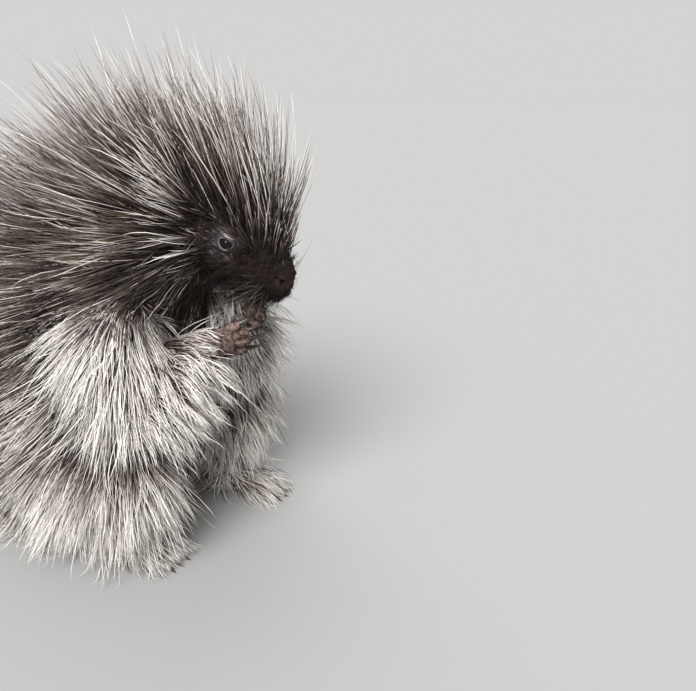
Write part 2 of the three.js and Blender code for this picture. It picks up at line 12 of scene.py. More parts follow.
import bmesh
import bpy
import numpy as np
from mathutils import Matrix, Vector


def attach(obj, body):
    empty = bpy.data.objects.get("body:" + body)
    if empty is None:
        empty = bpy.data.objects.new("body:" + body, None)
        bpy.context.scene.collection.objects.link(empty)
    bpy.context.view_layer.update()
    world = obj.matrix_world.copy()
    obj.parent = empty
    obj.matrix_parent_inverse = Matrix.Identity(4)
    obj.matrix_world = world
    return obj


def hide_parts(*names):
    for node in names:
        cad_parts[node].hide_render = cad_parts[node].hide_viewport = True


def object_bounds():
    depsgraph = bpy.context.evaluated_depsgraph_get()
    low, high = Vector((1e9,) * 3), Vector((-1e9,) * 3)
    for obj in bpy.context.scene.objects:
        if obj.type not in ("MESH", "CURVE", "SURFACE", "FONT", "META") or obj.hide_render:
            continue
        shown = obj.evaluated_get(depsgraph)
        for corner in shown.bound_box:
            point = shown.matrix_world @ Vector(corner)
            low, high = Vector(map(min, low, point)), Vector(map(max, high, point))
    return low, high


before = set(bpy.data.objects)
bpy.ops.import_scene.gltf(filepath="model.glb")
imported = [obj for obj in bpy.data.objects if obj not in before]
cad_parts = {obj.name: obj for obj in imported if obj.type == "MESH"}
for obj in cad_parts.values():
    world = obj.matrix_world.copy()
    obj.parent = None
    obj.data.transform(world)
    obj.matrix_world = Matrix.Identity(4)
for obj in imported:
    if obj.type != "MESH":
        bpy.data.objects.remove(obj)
CAD_LOW, CAD_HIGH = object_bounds()

# Driving sizes, as in the solids

MM = 0.001
RIGHT, LEFT = -1, 1
SIDES = {RIGHT: "right", LEFT: "left"}

HEAD_AT = np.array([192.0, 0, 343])
HEAD_PITCH = 22
MOUTH_UP = -33
NOSTRIL = (58.5, 12.2, -17.5)
NOSTRIL_SIZE = (4.4, 2.9, 3.1)
EYE = np.array([0, 31.0, 0])
EYE_LOOK = (0.25, 1, 0.15)
EYE_RADIUS = 6.8
EAR = np.array([-36.0, 36, 12])
EAR_SIZE = (8, 11, 16)
EAR_WALL = 2.4
EAR_TURN = 0.9
EAR_LEAN = 0.35

SHOULDER = (82, 66, 262)
ELBOW = (105, 88, 165)
WRIST = (143, 46, 232)
FINGERS = (181, 21, 240)
HIP = (8, 68, 82)
KNEE = (100, 92, 122)
ANKLE = (56, 78, 30)
HEEL = (40, 76, 14)
TOES = (112, 82, 10)
LEFT_ELBOW_OFFSET = (8, 0, 4)
LEFT_HAND_OFFSET = (6, 2, 20)
LEFT_KNEE_OFFSET = (14, -2, 4)
LEFT_FOOT_OFFSET = (32, -2, 0)
FORE_CLAW = 19
HIND_CLAW = 21
CLAW_RADIUS = 3

# Points that the hair fans out from
FACE_FAN = np.array([215.0, 0, 325])
RIDGE_FAN = np.array([203.0, 0, 205])
ARM_FAN = (108, 60, 318)
LEG_FAN = (62, 62, 190)

# Lengths of the hair
CREST_LONG = 138
CREST_FRONT_LONG = 13
CHEEK_LONG = 74
FLANK_LONG = 108
BACK_LONG = 192
NAPE_LONG = 165
BELLY_LONG = 58
TAIL_LONG = 68.0
ARM_LONG = 90
FOREARM_LONG = {LEFT: 68.0, RIGHT: 80.0}
WRIST_LONG, FINGER_LONG = 56, 15
THIGH_LONG = 92
SHIN_LONG = 86
FOOT_LONG, TOE_LONG = 54, 26
WOOL_LONG = 40
WHISKER_LONG = 50.0
QUILL_LONG = 62
PAW_FUR_LONG = 5.0

# Stations of each loft: x, y, z, half width, half depth
TORSO = [
    (-14, 0, 0, 62, 58),
    (-14, 0, 34, 96, 90),
    (-12, 0, 90, 108, 104),
    (-2, 0, 150, 106, 106),
    (14, 0, 208, 96, 100),
    (38, 0, 258, 84, 92),
    (72, 0, 296, 68, 76),
    (100, 0, 318, 48, 52),
]
NECK = [
    (72, 0, 290, 60, 54),
    (104, 0, 322, 56, 52),
    (134, 0, 346, 48, 46),
    (160, 0, 352, 36, 34),
]
TAIL = [
    (-72, 0, 46, 36, 38),
    (-104, 0, 38, 38, 39),
    (-160, 4, 29, 33, 32),
    (-220, 12, 22, 26, 25),
    (-262, 21, 15, 18, 18),
    (-284, 27, 8, 9, 10),
]
HEAD = [
    (-62, 0, 0, 14, 14),
    (-52, 0, -2, 33, 31),
    (-26, 0, -6, 39, 37),
    (0, 0, -11, 37, 38),
    (22, 0, -17, 30, 34),
    (40, 0, -21, 24, 26),
    (51, 0, -22, 20, 20),
    (58, 0, -22, 14, 14),
    (61, 0, -22, 6, 6),
]

# How deep the skin lies under the solids' surface, which is that of the underfur
TRUNK_DEPTH = 9
NECK_DEPTH = 7
LIMB_DEPTH = 6
TAIL_DEPTH = 7
HEAD_DEPTHS = (4, 4, 4, 2, 0.6, 0.4, 0.4, 0.3, 0)

# Lowest heights over the floor, and how far hair may reach past the solids' box
SKIN_FLOOR = 0.4
CLAW_FLOOR = 0.2
HAIR_FLOOR = 1.2
LOWEST_GUARD_HAIR = 6
LOWEST_FUR = 4
BOX_MARGIN = 12

# Camera, from the photograph's perspective
CAMERA_AT = (580, -593, 485)
CAMERA_TURN = 25
CAMERA_DOWN = 20
FOCAL_PIXELS = 720
PHOTO_WIDTH = 696
SENSOR_MM = 36
CAMERA_CLIP = (0.01, 50)

# Colours, linear
ROOT_BROWN = (0.0135, 0.0080, 0.0060)
MIDDLE_GREY = (0.178, 0.141, 0.122)
PALE_GREY = (0.52, 0.475, 0.44)
TIP_CREAM = (0.86, 0.82, 0.77)
FACE_BROWN = (0.014, 0.0092, 0.0082)
NOSE_BROWN = (0.030, 0.019, 0.018)
RIM_GREY = (0.13, 0.108, 0.12)
LID_GREY = (0.14, 0.122, 0.132)
PALM_PINK = (0.27, 0.19, 0.165)
QUILL_CREAM = (0.62, 0.55, 0.42)
SKY_LOW = (0.66, 0.656, 0.648)
SKY_HIGH = (0.45, 0.455, 0.465)
FLOOR_GREY = (0.340, 0.338, 0.334)


def unit(v):
    v = np.asarray(v, float)
    return v / np.maximum(np.linalg.norm(v, axis=-1, keepdims=True), 1e-9)


def dot(a, b):
    return (a * b).sum(-1)


def span(gaps):
    """The length of each row."""
    return np.linalg.norm(gaps, axis=1)


def smoothstep(x, low, high):
    s = np.clip((x - low) / (high - low), 0, 1)
    return s * s * (3 - 2 * s)


def mix(a, b, share):
    return a + (b - a) * share


def smooth_min(a, b, reach):
    h = np.clip(reach - np.abs(a - b), 0, None) / reach
    return np.minimum(a, b) - h * h * reach / 4


def smooth_max(a, b, reach):
    return -smooth_min(-a, -b, reach)


def catmull(points, shares):
    """Points of the uniform Catmull-Rom curve through `points`."""
    points = np.asarray(points, float)
    last = len(points) - 1
    place = np.clip(shares, 0, 1) * last
    first = np.minimum(place.astype(int), last - 1)
    w = (place - first)[:, None]
    ends = [2 * points[0] - points[1], 2 * points[-1] - points[-2]]
    padded = np.vstack([ends[0], points, ends[1]])
    a, b, c, d = (padded[first + k] for k in range(4))
    square, cube = 2 * a - 5 * b + 4 * c - d, 3 * b - a - 3 * c + d
    return 0.5 * (2 * b + (c - a) * w + square * w**2 + cube * w**3)


# The head's own frame

PITCH = math.radians(HEAD_PITCH)
HEAD_FORWARD = np.array([math.cos(PITCH), 0, -math.sin(PITCH)])
HEAD_LEFT = np.array([0, 1.0, 0])
HEAD_UP = np.array([math.sin(PITCH), 0, math.cos(PITCH)])
HEAD_AXES = np.array([HEAD_FORWARD, HEAD_LEFT, HEAD_UP])


def on_head(points):
    return HEAD_AT + np.asarray(points, float) @ HEAD_AXES


def from_head(points):
    return (points - HEAD_AT) @ HEAD_AXES.T


def mirrored(local):
    """Points of the head's frame, all brought to its left side."""
    return local * (1, 0, 1) + np.abs(local) * (0, 1, 0)


def from_spot(local, spot):
    """How far points of the head's frame are from a spot or its mirror image."""
    return span(mirrored(local) - spot)


# Body forms


def wall(rings, sides):
    """The quads between rings of corners that follow one another."""
    return [
        (ring + j, ring + k, ring + sides + k, ring + sides + j)
        for ring in range(0, rings * sides, sides)
        for j, k in zip(range(sides), [*range(1, sides), 0])
    ]


class Loft:
    """A body of elliptical rings along a smooth line, with its distance and its own directions."""

    STEPS = 48
    NEARBY = 30
    FAR = 60.0

    def __init__(self, stations, across=(0, 1, 0), place=None, depth=0.0, bulge=0.3):
        stations = np.array(stations, float)
        centres = stations[:, :3] if place is None else place(stations[:, :3])
        shares = np.linspace(0, 1, self.STEPS + 1)
        depth = np.interp(shares, np.linspace(0, 1, np.size(depth)), np.atleast_1d(depth))
        across = np.asarray(across, float)
        self.centres = catmull(centres, shares)
        self.sizes = catmull(stations[:, 3:5], shares) - depth[:, None]
        self.along = unit(np.gradient(self.centres, axis=0))
        self.side = unit(across - self.along * dot(self.along, across)[:, None])
        self.up = np.cross(self.along, self.side)
        self.bulge = bulge
        reach = self.sizes.max() + self.NEARBY
        self.low = self.centres.min(0) - reach
        self.high = self.centres.max(0) + reach

    def at(self, t):
        """Centre, side, up and sizes at each share t."""
        x = np.clip(t, 0, 1) * self.STEPS
        i = np.minimum(x.astype(int), self.STEPS - 1)
        w = (x - i)[:, None]
        rows = self.centres, self.side, self.up, self.sizes
        return [mix(row[i], row[i + 1], w) for row in rows]

    def near(self, points):
        return ((points > self.low) & (points < self.high)).all(1)

    def local(self, points):
        """Share along the loft, angle round it and signed distance from its surface."""
        last = self.STEPS
        gaps = (self.centres**2).sum(1) - 2 * points @ self.centres.T
        nearest = gaps.argmin(1)
        ahead = dot(points - self.centres[nearest], self.along[nearest])
        first = np.clip(np.where(ahead >= 0, nearest, nearest - 1), 0, last - 1)
        before = dot(points - self.centres[first], self.along[first])
        after = dot(points - self.centres[first + 1], self.along[first + 1])
        t = (first + np.clip(before / np.maximum(before - after, 1e-6), 0, 1)) / last
        centre, side, up, sizes = self.at(t)
        gap = points - centre
        x, y = dot(gap, side), dot(gap, up)
        past = np.where((first == 0) & (before < 0), before, 0.0)
        past = np.where((first == last - 1) & (after > 0), after, past)
        depth = sizes[:, 1] * self.bulge + 0.5
        share = np.sqrt((x / sizes[:, 0]) ** 2 + (y / sizes[:, 1]) ** 2 + (past / depth) ** 2)
        away = np.sqrt(x * x + y * y + past * past)
        angle = np.arctan2(y / sizes[:, 1], x / sizes[:, 0])
        return t, angle, away * (1 - 1 / np.maximum(share, 1e-6))

    def distance(self, points):
        gap = np.full(len(points), self.FAR)
        near = self.near(points)
        if near.any():
            gap[near] = self.local(points[near])[2]
        return gap

    def mesh(self, sides, rings):
        """Corners and faces of the closed loft."""
        t = np.repeat(np.linspace(0, 1, rings + 1), sides)
        angle = np.tile(np.arange(sides) * 2 * np.pi / sides, rings + 1)
        centre, side, up, sizes = self.at(t)
        wide = (sizes[:, 0] * np.cos(angle))[:, None]
        deep = (sizes[:, 1] * np.sin(angle))[:, None]
        body = centre + side * wide + up * deep
        ends = [
            self.centres[0] - self.along[0] * self.sizes[0, 1] * self.bulge,
            self.centres[-1] + self.along[-1] * self.sizes[-1, 1] * self.bulge,
        ]
        first, last = len(body), len(body) + 1
        faces = wall(rings, sides)
        for j in range(sides):
            k = (j + 1) % sides
            faces.append((k, j, first))
            faces.append((rings * sides + j, rings * sides + k, last))
        return np.vstack([body, ends]), faces


def joint(place, side, offset=None):
    """A place of the right leg, or its mirror image on the left, which may be moved."""
    x, y, z = place
    moved = np.array([x, side * y, z], float)
    return moved + np.array(offset, float) if side == LEFT and offset else moved


def limb(start, end, sizes, depth):
    start_size, muscle, end_size = sizes
    line = [
        (-0.22, start_size * 0.55),
        (0, start_size),
        (0.4, muscle),
        (0.85, end_size * 1.05),
        (1.1, end_size * 0.6),
    ]
    return Loft([(*mix(start, end, share), size, size) for share, size in line], depth=depth)


# Along a digit and along a claw: how far ahead, how far bent down, and the share of the radius
DIGIT_LINE = [
    (-0.4, 0, 0.8), (0, 0, 1.0), (0.28, 0.0, 0.9),
    (0.55, 0.04, 0.97), (0.82, 0.12, 0.88), (0.95, 0.2, 0.62),
]
CLAW_LINE = [
    (-0.16, -0.02, 0.7), (0.01, 0, 1.0), (0.3, 0.04, 0.9),
    (0.62, 0.13, 0.62), (0.9, 0.28, 0.28), (0.99, 0.37, 0.07),
]


def digits(count, base, forward, across, curl, spread, long, thick):
    """The lofts of a paw's digits and, for each, its way and its tip."""
    made = []
    for i in range(count):
        share = 2 * i / (count - 1) - 1
        length = long * (1 - 0.16 * share * share)
        way = unit(forward + across * 0.22 * share)
        root = base + across * spread * share - forward * 4 * share * share
        line = [root + way * length * ahead + curl * length * drop for ahead, drop, _ in DIGIT_LINE]
        stations = [(*point, r * thick, r * thick) for point, (_, _, r) in zip(line, DIGIT_LINE)]
        made.append((Loft(stations, across=across, bulge=0.6), way, line[-1]))
    return made


def fore_leg(side):
    elbow = joint(ELBOW, side, LEFT_ELBOW_OFFSET)
    wrist = joint(WRIST, side, LEFT_HAND_OFFSET)
    base = joint(FINGERS, side, LEFT_HAND_OFFSET)
    forward = unit(base - wrist)
    inward = np.array([0, -side, 0.35])
    curl = unit(inward - forward * dot(inward, forward))
    across = unit(np.cross(forward, curl))
    palm = [(-0.45, 11, 9), (0, 14, 11), (0.5, 17, 10.5), (1.05, 14, 8)]
    stations = [(*mix(wrist, base, share), wide, deep) for share, wide, deep in palm]
    return SimpleNamespace(
        side=side, elbow=elbow, wrist=wrist, base=base, forward=forward, across=across, curl=curl,
        upper=limb(joint(SHOULDER, side), elbow, (38, 33, 25), LIMB_DEPTH),
        lower=limb(elbow, wrist, (25, 23, 14), (5, 5, 3, 0.5, 0)),
        pad=Loft(stations, across=across),
        digits=digits(4, base, forward, across, curl, 12, 21, 5.2),
        claw_long=FORE_CLAW, bareness=0.8,
    )


def hind_leg(side):
    knee = joint(KNEE, side, LEFT_KNEE_OFFSET)
    heel = joint(HEEL, side, LEFT_FOOT_OFFSET)
    toes = joint(TOES, side, LEFT_FOOT_OFFSET)
    base = np.array([toes[0], toes[1], 8.0])
    forward = unit((toes - heel) * (1, 1, 0))
    across, curl = np.array([0, 1.0, 0]), np.array([0, 0, -1.0])
    sole = [
        (-0.16, 13, 10, 9), (0, 15, 16, 15), (0.45, 15, 19, 17),
        (0.85, 11, 21, 13), (1.02, 8, 19, 9),
    ]
    stations = [(*mix(heel, toes, share)[:2], z, wide, deep) for share, z, wide, deep in sole]
    return SimpleNamespace(
        side=side, base=base, forward=forward, across=across, curl=curl,
        upper=limb(joint(HIP, side), knee, (52, 46, 32), TRUNK_DEPTH),
        lower=limb(knee, joint(ANKLE, side, LEFT_FOOT_OFFSET), (30, 26, 18), (6, 6, 5, 3, 2)),
        pad=Loft(stations, depth=1.0),
        digits=digits(5, base, forward, across, curl, 16, 20, 5),
        claw_long=HIND_CLAW, bareness=0.25,
    )


fore_legs = {side: fore_leg(side) for side in SIDES}
hind_legs = {side: hind_leg(side) for side in SIDES}
all_legs = [*fore_legs.values(), *hind_legs.values()]

# Every form of the skin, with how softly it runs into what is there already
forms = [
    ("torso", Loft(TORSO, depth=TRUNK_DEPTH), 1),
    ("neck", Loft(NECK, depth=NECK_DEPTH), 26),
    ("head", Loft(HEAD, place=on_head, depth=HEAD_DEPTHS), 16),
    ("tail", Loft(TAIL, depth=(TRUNK_DEPTH, TAIL_DEPTH, TAIL_DEPTH, 5, 3, 1)), 22),
]
for side, name in SIDES.items():
    fore, hind = fore_legs[side], hind_legs[side]
    forms += [
        (f"upper_arm_{name}", fore.upper, 18),
        (f"forearm_{name}", fore.lower, 10),
        (f"forepaw_{name}", fore.pad, 6),
        (f"thigh_{name}", hind.upper, 22),
        (f"shin_{name}", hind.lower, 12),
        (f"hind_foot_{name}", hind.pad, 7),
    ]
    forms += [(f"forepaw_{name}", digit, 2.5) for digit, _, _ in fore.digits]
    forms += [(f"hind_foot_{name}", digit, 2.5) for digit, _, _ in hind.digits]

# Details of the head


def ellipsoid(points, centre, sizes, axes=None):
    """Signed distance, near enough, from an ellipsoid."""
    gap = points - np.asarray(centre, float)
    if axes is not None:
        gap = gap @ axes.T
    sizes = np.asarray(sizes, float)
    share = span(gap / sizes)
    return share * (share - 1) / np.maximum(span(gap / sizes**2), 1e-6)


def capsule(points, start, end, radius):
    start, end = np.asarray(start, float), np.asarray(end, float)
    way = end - start
    share = np.clip(dot(points - start, way) / dot(way, way), 0, 1)[:, None]
    return span(points - start - way * share) - radius


def rotation(axis, angle):
    """A turn about an axis of the head's frame, by its index."""
    c, s = math.cos(angle), math.sin(angle)
    i, j = [(1, 2), (2, 0), (0, 1)][axis]
    turn = np.eye(3)
    turn[i, i] = turn[j, j] = c
    turn[i, j] = -s
    turn[j, i] = s
    return turn


EYE_WAY = unit(EYE_LOOK)
EYE_AHEAD = unit(np.array([1, 0, 0]) - EYE_WAY * EYE_WAY[0])
EYE_HIGH = np.cross(EYE_WAY, EYE_AHEAD) * -1
EYE_HIGH = EYE_HIGH * np.sign(EYE_HIGH[2])
EAR_AXES = (rotation(2, EAR_TURN) @ rotation(0, -EAR_LEAN)).T

# Points of the lips, x and y, and the half sizes of the almond between the eye's lids
LIP_LINE = [
    (18, 28.2), (28, 26.0), (36, 24.2), (44, 21.0), (50, 17.2), (55, 11.5), (58, 5.5), (58.8, 0)
]
LIDS_LONG, LIDS_HIGH, LIDS_MEAN = 6.3, (4.6, 4.9), 4.8

# How thick, deep or high the face's folds are
LID_THICK, CREASE_DEEP, RIM_HIGH = 1.9, 0.7, 0.5
LIP_THICK, MOUTH_OPEN, MOUTH_DEEP = 2.4, 0.75, 4.2

# The box that holds every detail of the head: its middle and half sizes
DETAILS_AT, DETAILS_REACH = (0, 0, -8), (80, 62, 60)

# Rounded forms that swell the face: place, half sizes, and how softly each runs in
SWELLINGS = {
    "brow": ((-1, 28, 11), (12, 4.5, 3.6), 8),
    "cheek": ((4, 26.5, -21), (20, 8, 11), 9),
    "nose": ((50, 0, -15), (8, 14, 8), 4),
    "upper_lip": ((47.5, 9, -26), (9.5, 9.5, 8), 4),
    "chin": ((42, 0, -38), (12, 12, 6), 6),
}
UNDER_EYE = (22, 30, -5), (11, 5.5, 6)
NOSE_WING = (54.5, 12.5, -16.5), (5.5, 3.6, 5.6)


def eye_opening(points):
    """How far outside the almond between the lids points lie, and how far ahead of the eye."""
    gap = points - EYE
    along, high = dot(gap, EYE_AHEAD), dot(gap, EYE_HIGH)
    high = high - 0.03 * along * along + 0.25
    share = np.sqrt((along / LIDS_LONG) ** 2 + (high / np.where(high > 0, *LIDS_HIGH)) ** 2)
    return (share - 1) * LIDS_MEAN, dot(gap, EYE_WAY)


def head_details(points, skin):
    """The skin's distance with brow, cheeks, lids, nose, mouth and ears, in the head's frame."""
    p = mirrored(points)
    for place, sizes, reach in SWELLINGS.values():
        skin = smooth_min(skin, ellipsoid(p, place, sizes), reach)
    skin = smooth_max(skin, -ellipsoid(p, *UNDER_EYE), 7)

    # Lids: a shell over the eyeball, open in an almond, with a crease round it
    from_eye = span(p - EYE)
    outside, ahead = eye_opening(p)
    skin = smooth_min(skin, from_eye - (EYE_RADIUS + LID_THICK), 4)
    crease = np.abs(outside - 4.6) + np.abs(from_eye - (EYE_RADIUS + 3)) * 0.5
    skin = skin + CREASE_DEEP * np.exp(-((crease / 1.3) ** 2)) * (ahead > 0)
    rim = np.abs(outside - 0.7)
    skin = skin - RIM_HIGH * np.exp(-((rim / 0.9) ** 2)) * (ahead > 2)
    punch = np.maximum(outside, (EYE_RADIUS - 1.6) - from_eye)
    punch = np.where(ahead > 0, punch, 10.0)
    skin = smooth_max(skin, -punch, 0.7)

    # Nostrils: commas that run up and back, with a raised wing
    skin = smooth_min(skin, ellipsoid(p, *NOSE_WING), 3)
    skin = smooth_max(skin, -ellipsoid(p, NOSTRIL, NOSTRIL_SIZE), 0.7)
    skin = smooth_max(skin, -capsule(p, (58, 13.4, -15.5), (52.5, 16.6, -13.2), 1.4), 0.7)

    # Mouth: two lips with the line between them, and the cleft up to the nose
    line = np.full(len(p), 99.0)
    for (a, wide_a), (b, wide_b) in zip(LIP_LINE[:-1], LIP_LINE[1:]):
        start, end = (a - 1, wide_a, MOUTH_UP), (b - 1, wide_b, MOUTH_UP)
        line = np.minimum(line, capsule(p, start, end, 0))
    skin = smooth_min(skin, line - LIP_THICK, 2.2)
    groove = np.abs(points[:, 2] - MOUTH_UP) - MOUTH_OPEN
    skin = smooth_max(skin, -np.maximum(groove, line - MOUTH_DEEP), 0.8)
    cleft = capsule(points, (62, 0, -21), (58.5, 0, MOUTH_UP), 1.0)
    skin = smooth_max(skin, -cleft, 1.2)

    # Ears: cups open forward and to the side
    outer = ellipsoid(p, EAR, EAR_SIZE, EAR_AXES)
    opening = EAR + np.array([EAR_SIZE[0] * 0.75, 0, 1.5]) @ EAR_AXES
    inner = ellipsoid(p, opening, np.array(EAR_SIZE) - EAR_WALL, EAR_AXES)
    return smooth_min(skin, smooth_max(outer, -inner, 1.2), 3.0)


def skin_distance(points):
    """Signed distance from the skin, with every form run together."""
    gap = forms[0][1].distance(points)
    for _, form, reach in forms[1:]:
        gap = smooth_min(gap, form.distance(points), reach)
    local = from_head(points)
    face = (np.abs(local - DETAILS_AT) < DETAILS_REACH).all(1)
    if face.any():
        gap[face] = head_details(local[face], gap[face])
    return np.maximum(gap, SKIN_FLOOR - points[:, 2])


# Meshes


def linked(name, data):
    """A new object of the scene that holds `data`."""
    thing = bpy.data.objects.new(name, data)
    bpy.context.scene.collection.objects.link(thing)
    return thing


def new_mesh(name, points, faces):
    """An object of the given corners, in millimetres, and faces."""
    mesh = bpy.data.meshes.new(name)
    mesh.from_pydata((np.asarray(points) * MM).tolist(), [], faces)
    mesh.validate()
    shade_smooth(mesh)
    return linked(name, mesh)


def shade_smooth(mesh):
    mesh.polygons.foreach_set("use_smooth", np.full(len(mesh.polygons), True))


def gathered(bodies):
    """The corners and faces of several bodies as those of one."""
    points, faces, start = [], [], 0
    for body, body_faces in bodies:
        points.append(body)
        faces += [tuple(start + i for i in face) for face in body_faces]
        start += len(body)
    return np.vstack(points), faces


def read(items, field, width, kind=np.float32):
    """A field of a mesh's corners, edges or triangles, a row for each."""
    out = np.empty(len(items) * width, kind)
    items.foreach_get(field, out)
    return out.reshape(-1, width)


def corners(mesh):
    return read(mesh.vertices, "co", 3).astype(float) / MM


def normals(mesh):
    return read(mesh.vertices, "normal", 3).astype(float)


def set_corners(mesh, points):
    mesh.vertices.foreach_set("co", (points * MM).astype(np.float32).ravel())
    mesh.update()


def put(mesh, name, kind, values):
    """Writes an attribute of the corners."""
    layer = mesh.attributes.new(name, kind, "POINT")
    field = "color" if kind == "FLOAT_COLOR" else "value"
    layer.data.foreach_set(field, np.ascontiguousarray(values, np.float32).ravel())


def relaxed(points, edges, amount):
    """Each corner moved towards the mean of its neighbours."""
    total = np.zeros_like(points)
    count = np.zeros(len(points))
    for a, b in ((0, 1), (1, 0)):
        np.add.at(count, edges[:, a], 1)
        for axis in range(3):
            total[:, axis] += np.bincount(edges[:, a], points[edges[:, b], axis], len(points))
    return mix(points, total / count[:, None], amount)


def refine(mesh, wanted):
    """Splits each face whose corners are all in `wanted` into four."""
    bm = bmesh.new()
    bm.from_mesh(mesh)
    bm.verts.ensure_lookup_table()
    keep = wanted(corners(mesh))
    chosen = [e for e in bm.edges if keep[e.verts[0].index] and keep[e.verts[1].index]]
    bmesh.ops.subdivide_edges(bm, edges=chosen, cuts=1, use_grid_fill=True)
    bmesh.ops.triangulate(bm, faces=[f for f in bm.faces if len(f.verts) > 4])
    bm.to_mesh(mesh)
    bm.free()
    mesh.update()


SLOPE_PROBE = 0.3
SLOPE_LIMITS = (0.6, 8)
LONGEST_STEP = 2.5


def settle(mesh, rounds, amount, moved=None):
    """Brings the corners onto the skin by its slope, with the corners kept evenly spaced."""
    edges = read(mesh.edges, "vertices", 2, np.int32)
    points = corners(mesh)
    index = np.arange(len(points)) if moved is None else np.flatnonzero(moved(points))
    for _ in range(rounds):
        points[index] = relaxed(points, edges, amount)[index]
        set_corners(mesh, points)
        out = normals(mesh)[index]
        here = skin_distance(points[index])
        slope = (skin_distance(points[index] + out * SLOPE_PROBE) - here) / SLOPE_PROBE
        step = np.clip(here / np.clip(np.abs(slope), *SLOPE_LIMITS), -LONGEST_STEP, LONGEST_STEP)
        points[index] -= out * step[:, None]
        set_corners(mesh, points)


# Areas that get a finer skin or short fur


def near_paws(points, reach):
    centres = [leg.base + leg.forward * 6 for leg in all_legs]
    return np.any([span(points - centre) < reach for centre in centres], axis=0)


def near_face(points):
    local = from_head(points)
    return (local[:, 0] > -52) & (np.abs(local[:, 1]) < 60) & (span(local) < 80)


def near_details(points):
    local = from_head(points)
    nose = span(local - (52, 0, -24)) < 25
    return (from_spot(local, EYE) < 15) | nose | (from_spot(local, EAR) < 22)


def near_eye(points):
    return from_spot(from_head(points), EYE) < 11.5


VOXEL = 3.2
BALL = [(0, 0, -0.9, 5, 5), (0, 0, -0.4, 9, 9), (0, 0, 0.4, 9, 9), (0, 0, 0.9, 5, 5)]


def make_skin():
    """The forms and ears fused by a voxel remesh, then brought onto the skin and refined."""
    bodies = [form.mesh(sides=20, rings=30) for _, form, _ in forms]
    ball, ball_faces = Loft(BALL).mesh(sides=16, rings=12)
    ball = unit(ball * (1, 1, 9)) * EAR_SIZE
    for side in SIDES:
        axes = EAR_AXES * (1, side, 1) * np.array([[1], [side], [1]])
        bodies.append((on_head(EAR * (1, side, 1) + ball @ axes), ball_faces))
    skin = new_mesh("skin", *gathered(bodies))
    shrink = skin.modifiers.new("one_body", "REMESH")
    shrink.mode = "VOXEL"
    shrink.voxel_size = VOXEL * MM
    shrink.use_smooth_shade = True
    evaluated = skin.evaluated_get(bpy.context.evaluated_depsgraph_get())
    whole = bpy.data.meshes.new_from_object(evaluated)
    skin.modifiers.clear()
    skin.data = whole
    settle(whole, 3, 0.4)
    refine(whole, lambda p: near_face(p) | near_paws(p, 46))
    settle(whole, 2, 0.4, lambda p: near_face(p) | near_paws(p, 50))
    refine(whole, lambda p: near_details(p) | near_paws(p, 40))
    settle(whole, 3, 0.35, lambda p: near_details(p) | near_paws(p, 44))
    refine(whole, near_eye)
    settle(whole, 8, 0.25, near_details)
    points = corners(whole)
    points[:, 2] = np.maximum(points[:, 2], SKIN_FLOOR)
    set_corners(whole, points)
    shade_smooth(whole)
    return skin


# The coat's lie


class Roots:
    """Places on the skin where hair grows, with what the coat's lie needs to know of each."""

    def __init__(self, points, out):
        self.points, self.normals = points, out
        self.label = np.zeros(len(points), int)
        self.t, self.angle = np.zeros((2, len(points)))
        best = np.full(len(points), 1e9)
        for index, (_, form, _) in enumerate(forms):
            t, angle, gap = form.local(points)
            closer = gap < best
            best[closer] = gap[closer]
            self.label[closer] = index
            self.t[closer], self.angle[closer] = t[closer], angle[closer]
        self.local = from_head(points)

    def __len__(self):
        return len(self.points)

    def pick(self, keep):
        chosen = object.__new__(Roots)
        for name, values in vars(self).items():
            setattr(chosen, name, values[keep])
        return chosen

    def on(self, *names):
        """Which roots lie on the forms whose name starts so."""
        wanted = [index for index, form in enumerate(forms) if form[0].startswith(names)]
        return np.isin(self.label, wanted)

    def left(self):
        return self.points[:, 1] > 0

    def of_leg(self, legs, field):
        """A place or a way of the leg on each root's side."""
        left, right = (getattr(legs[side], field) for side in (LEFT, RIGHT))
        return np.where(self.left()[:, None], left, right)


def scattered(mesh, count, rng, wanted=None):
    """Roots spread evenly over the skin, or over the part of it that is wanted."""
    mesh.calc_loop_triangles()
    corner = read(mesh.loop_triangles, "vertices", 3, np.int32)
    triangles, shade = corners(mesh)[corner], normals(mesh)[corner]
    sides = triangles[:, 1:] - triangles[:, :1]
    area = span(np.cross(sides[:, 0], sides[:, 1]))
    if wanted:
        area = area * wanted(triangles.mean(1))
    chosen = rng.choice(len(area), count, p=area / area.sum())
    a, b = rng.random(count), rng.random(count)
    over = a + b > 1
    a[over], b[over] = 1 - a[over], 1 - b[over]
    weights = np.stack([1 - a - b, a, b], 1)[..., None]
    return Roots((triangles[chosen] * weights).sum(1), unit((shade[chosen] * weights).sum(1)))


def fanned(roots, centre, stand, fall, sweep=0.0, drop=0.0):
    """Hair that leaves the skin away from a centre and falls or is swept back at its tips."""
    away = unit(roots.points - centre)
    shares = (stand, fall, drop)
    stand, fall, drop = (np.broadcast_to(share, len(roots))[:, None] for share in shares)
    back = np.multiply(sweep, (1, 0, 0))
    out = unit(away + roots.normals * stand - drop * (0, 0, 1))
    lie = unit(away + roots.normals * stand * 0.2 - fall * (0, 0, 1) - back)
    return out, lie


def blended(first, second, share):
    """The way out and the lie of one coat run into those of another."""
    return [unit(mix(a, b, share[:, None])) for a, b in zip(first, second)]


def ridge_of(roots):
    """How far a root is on the ridge of back and crown, from 0 to 1."""
    return np.clip(-0.55 * roots.normals[:, 0] + 0.85 * roots.normals[:, 2], 0, 1)


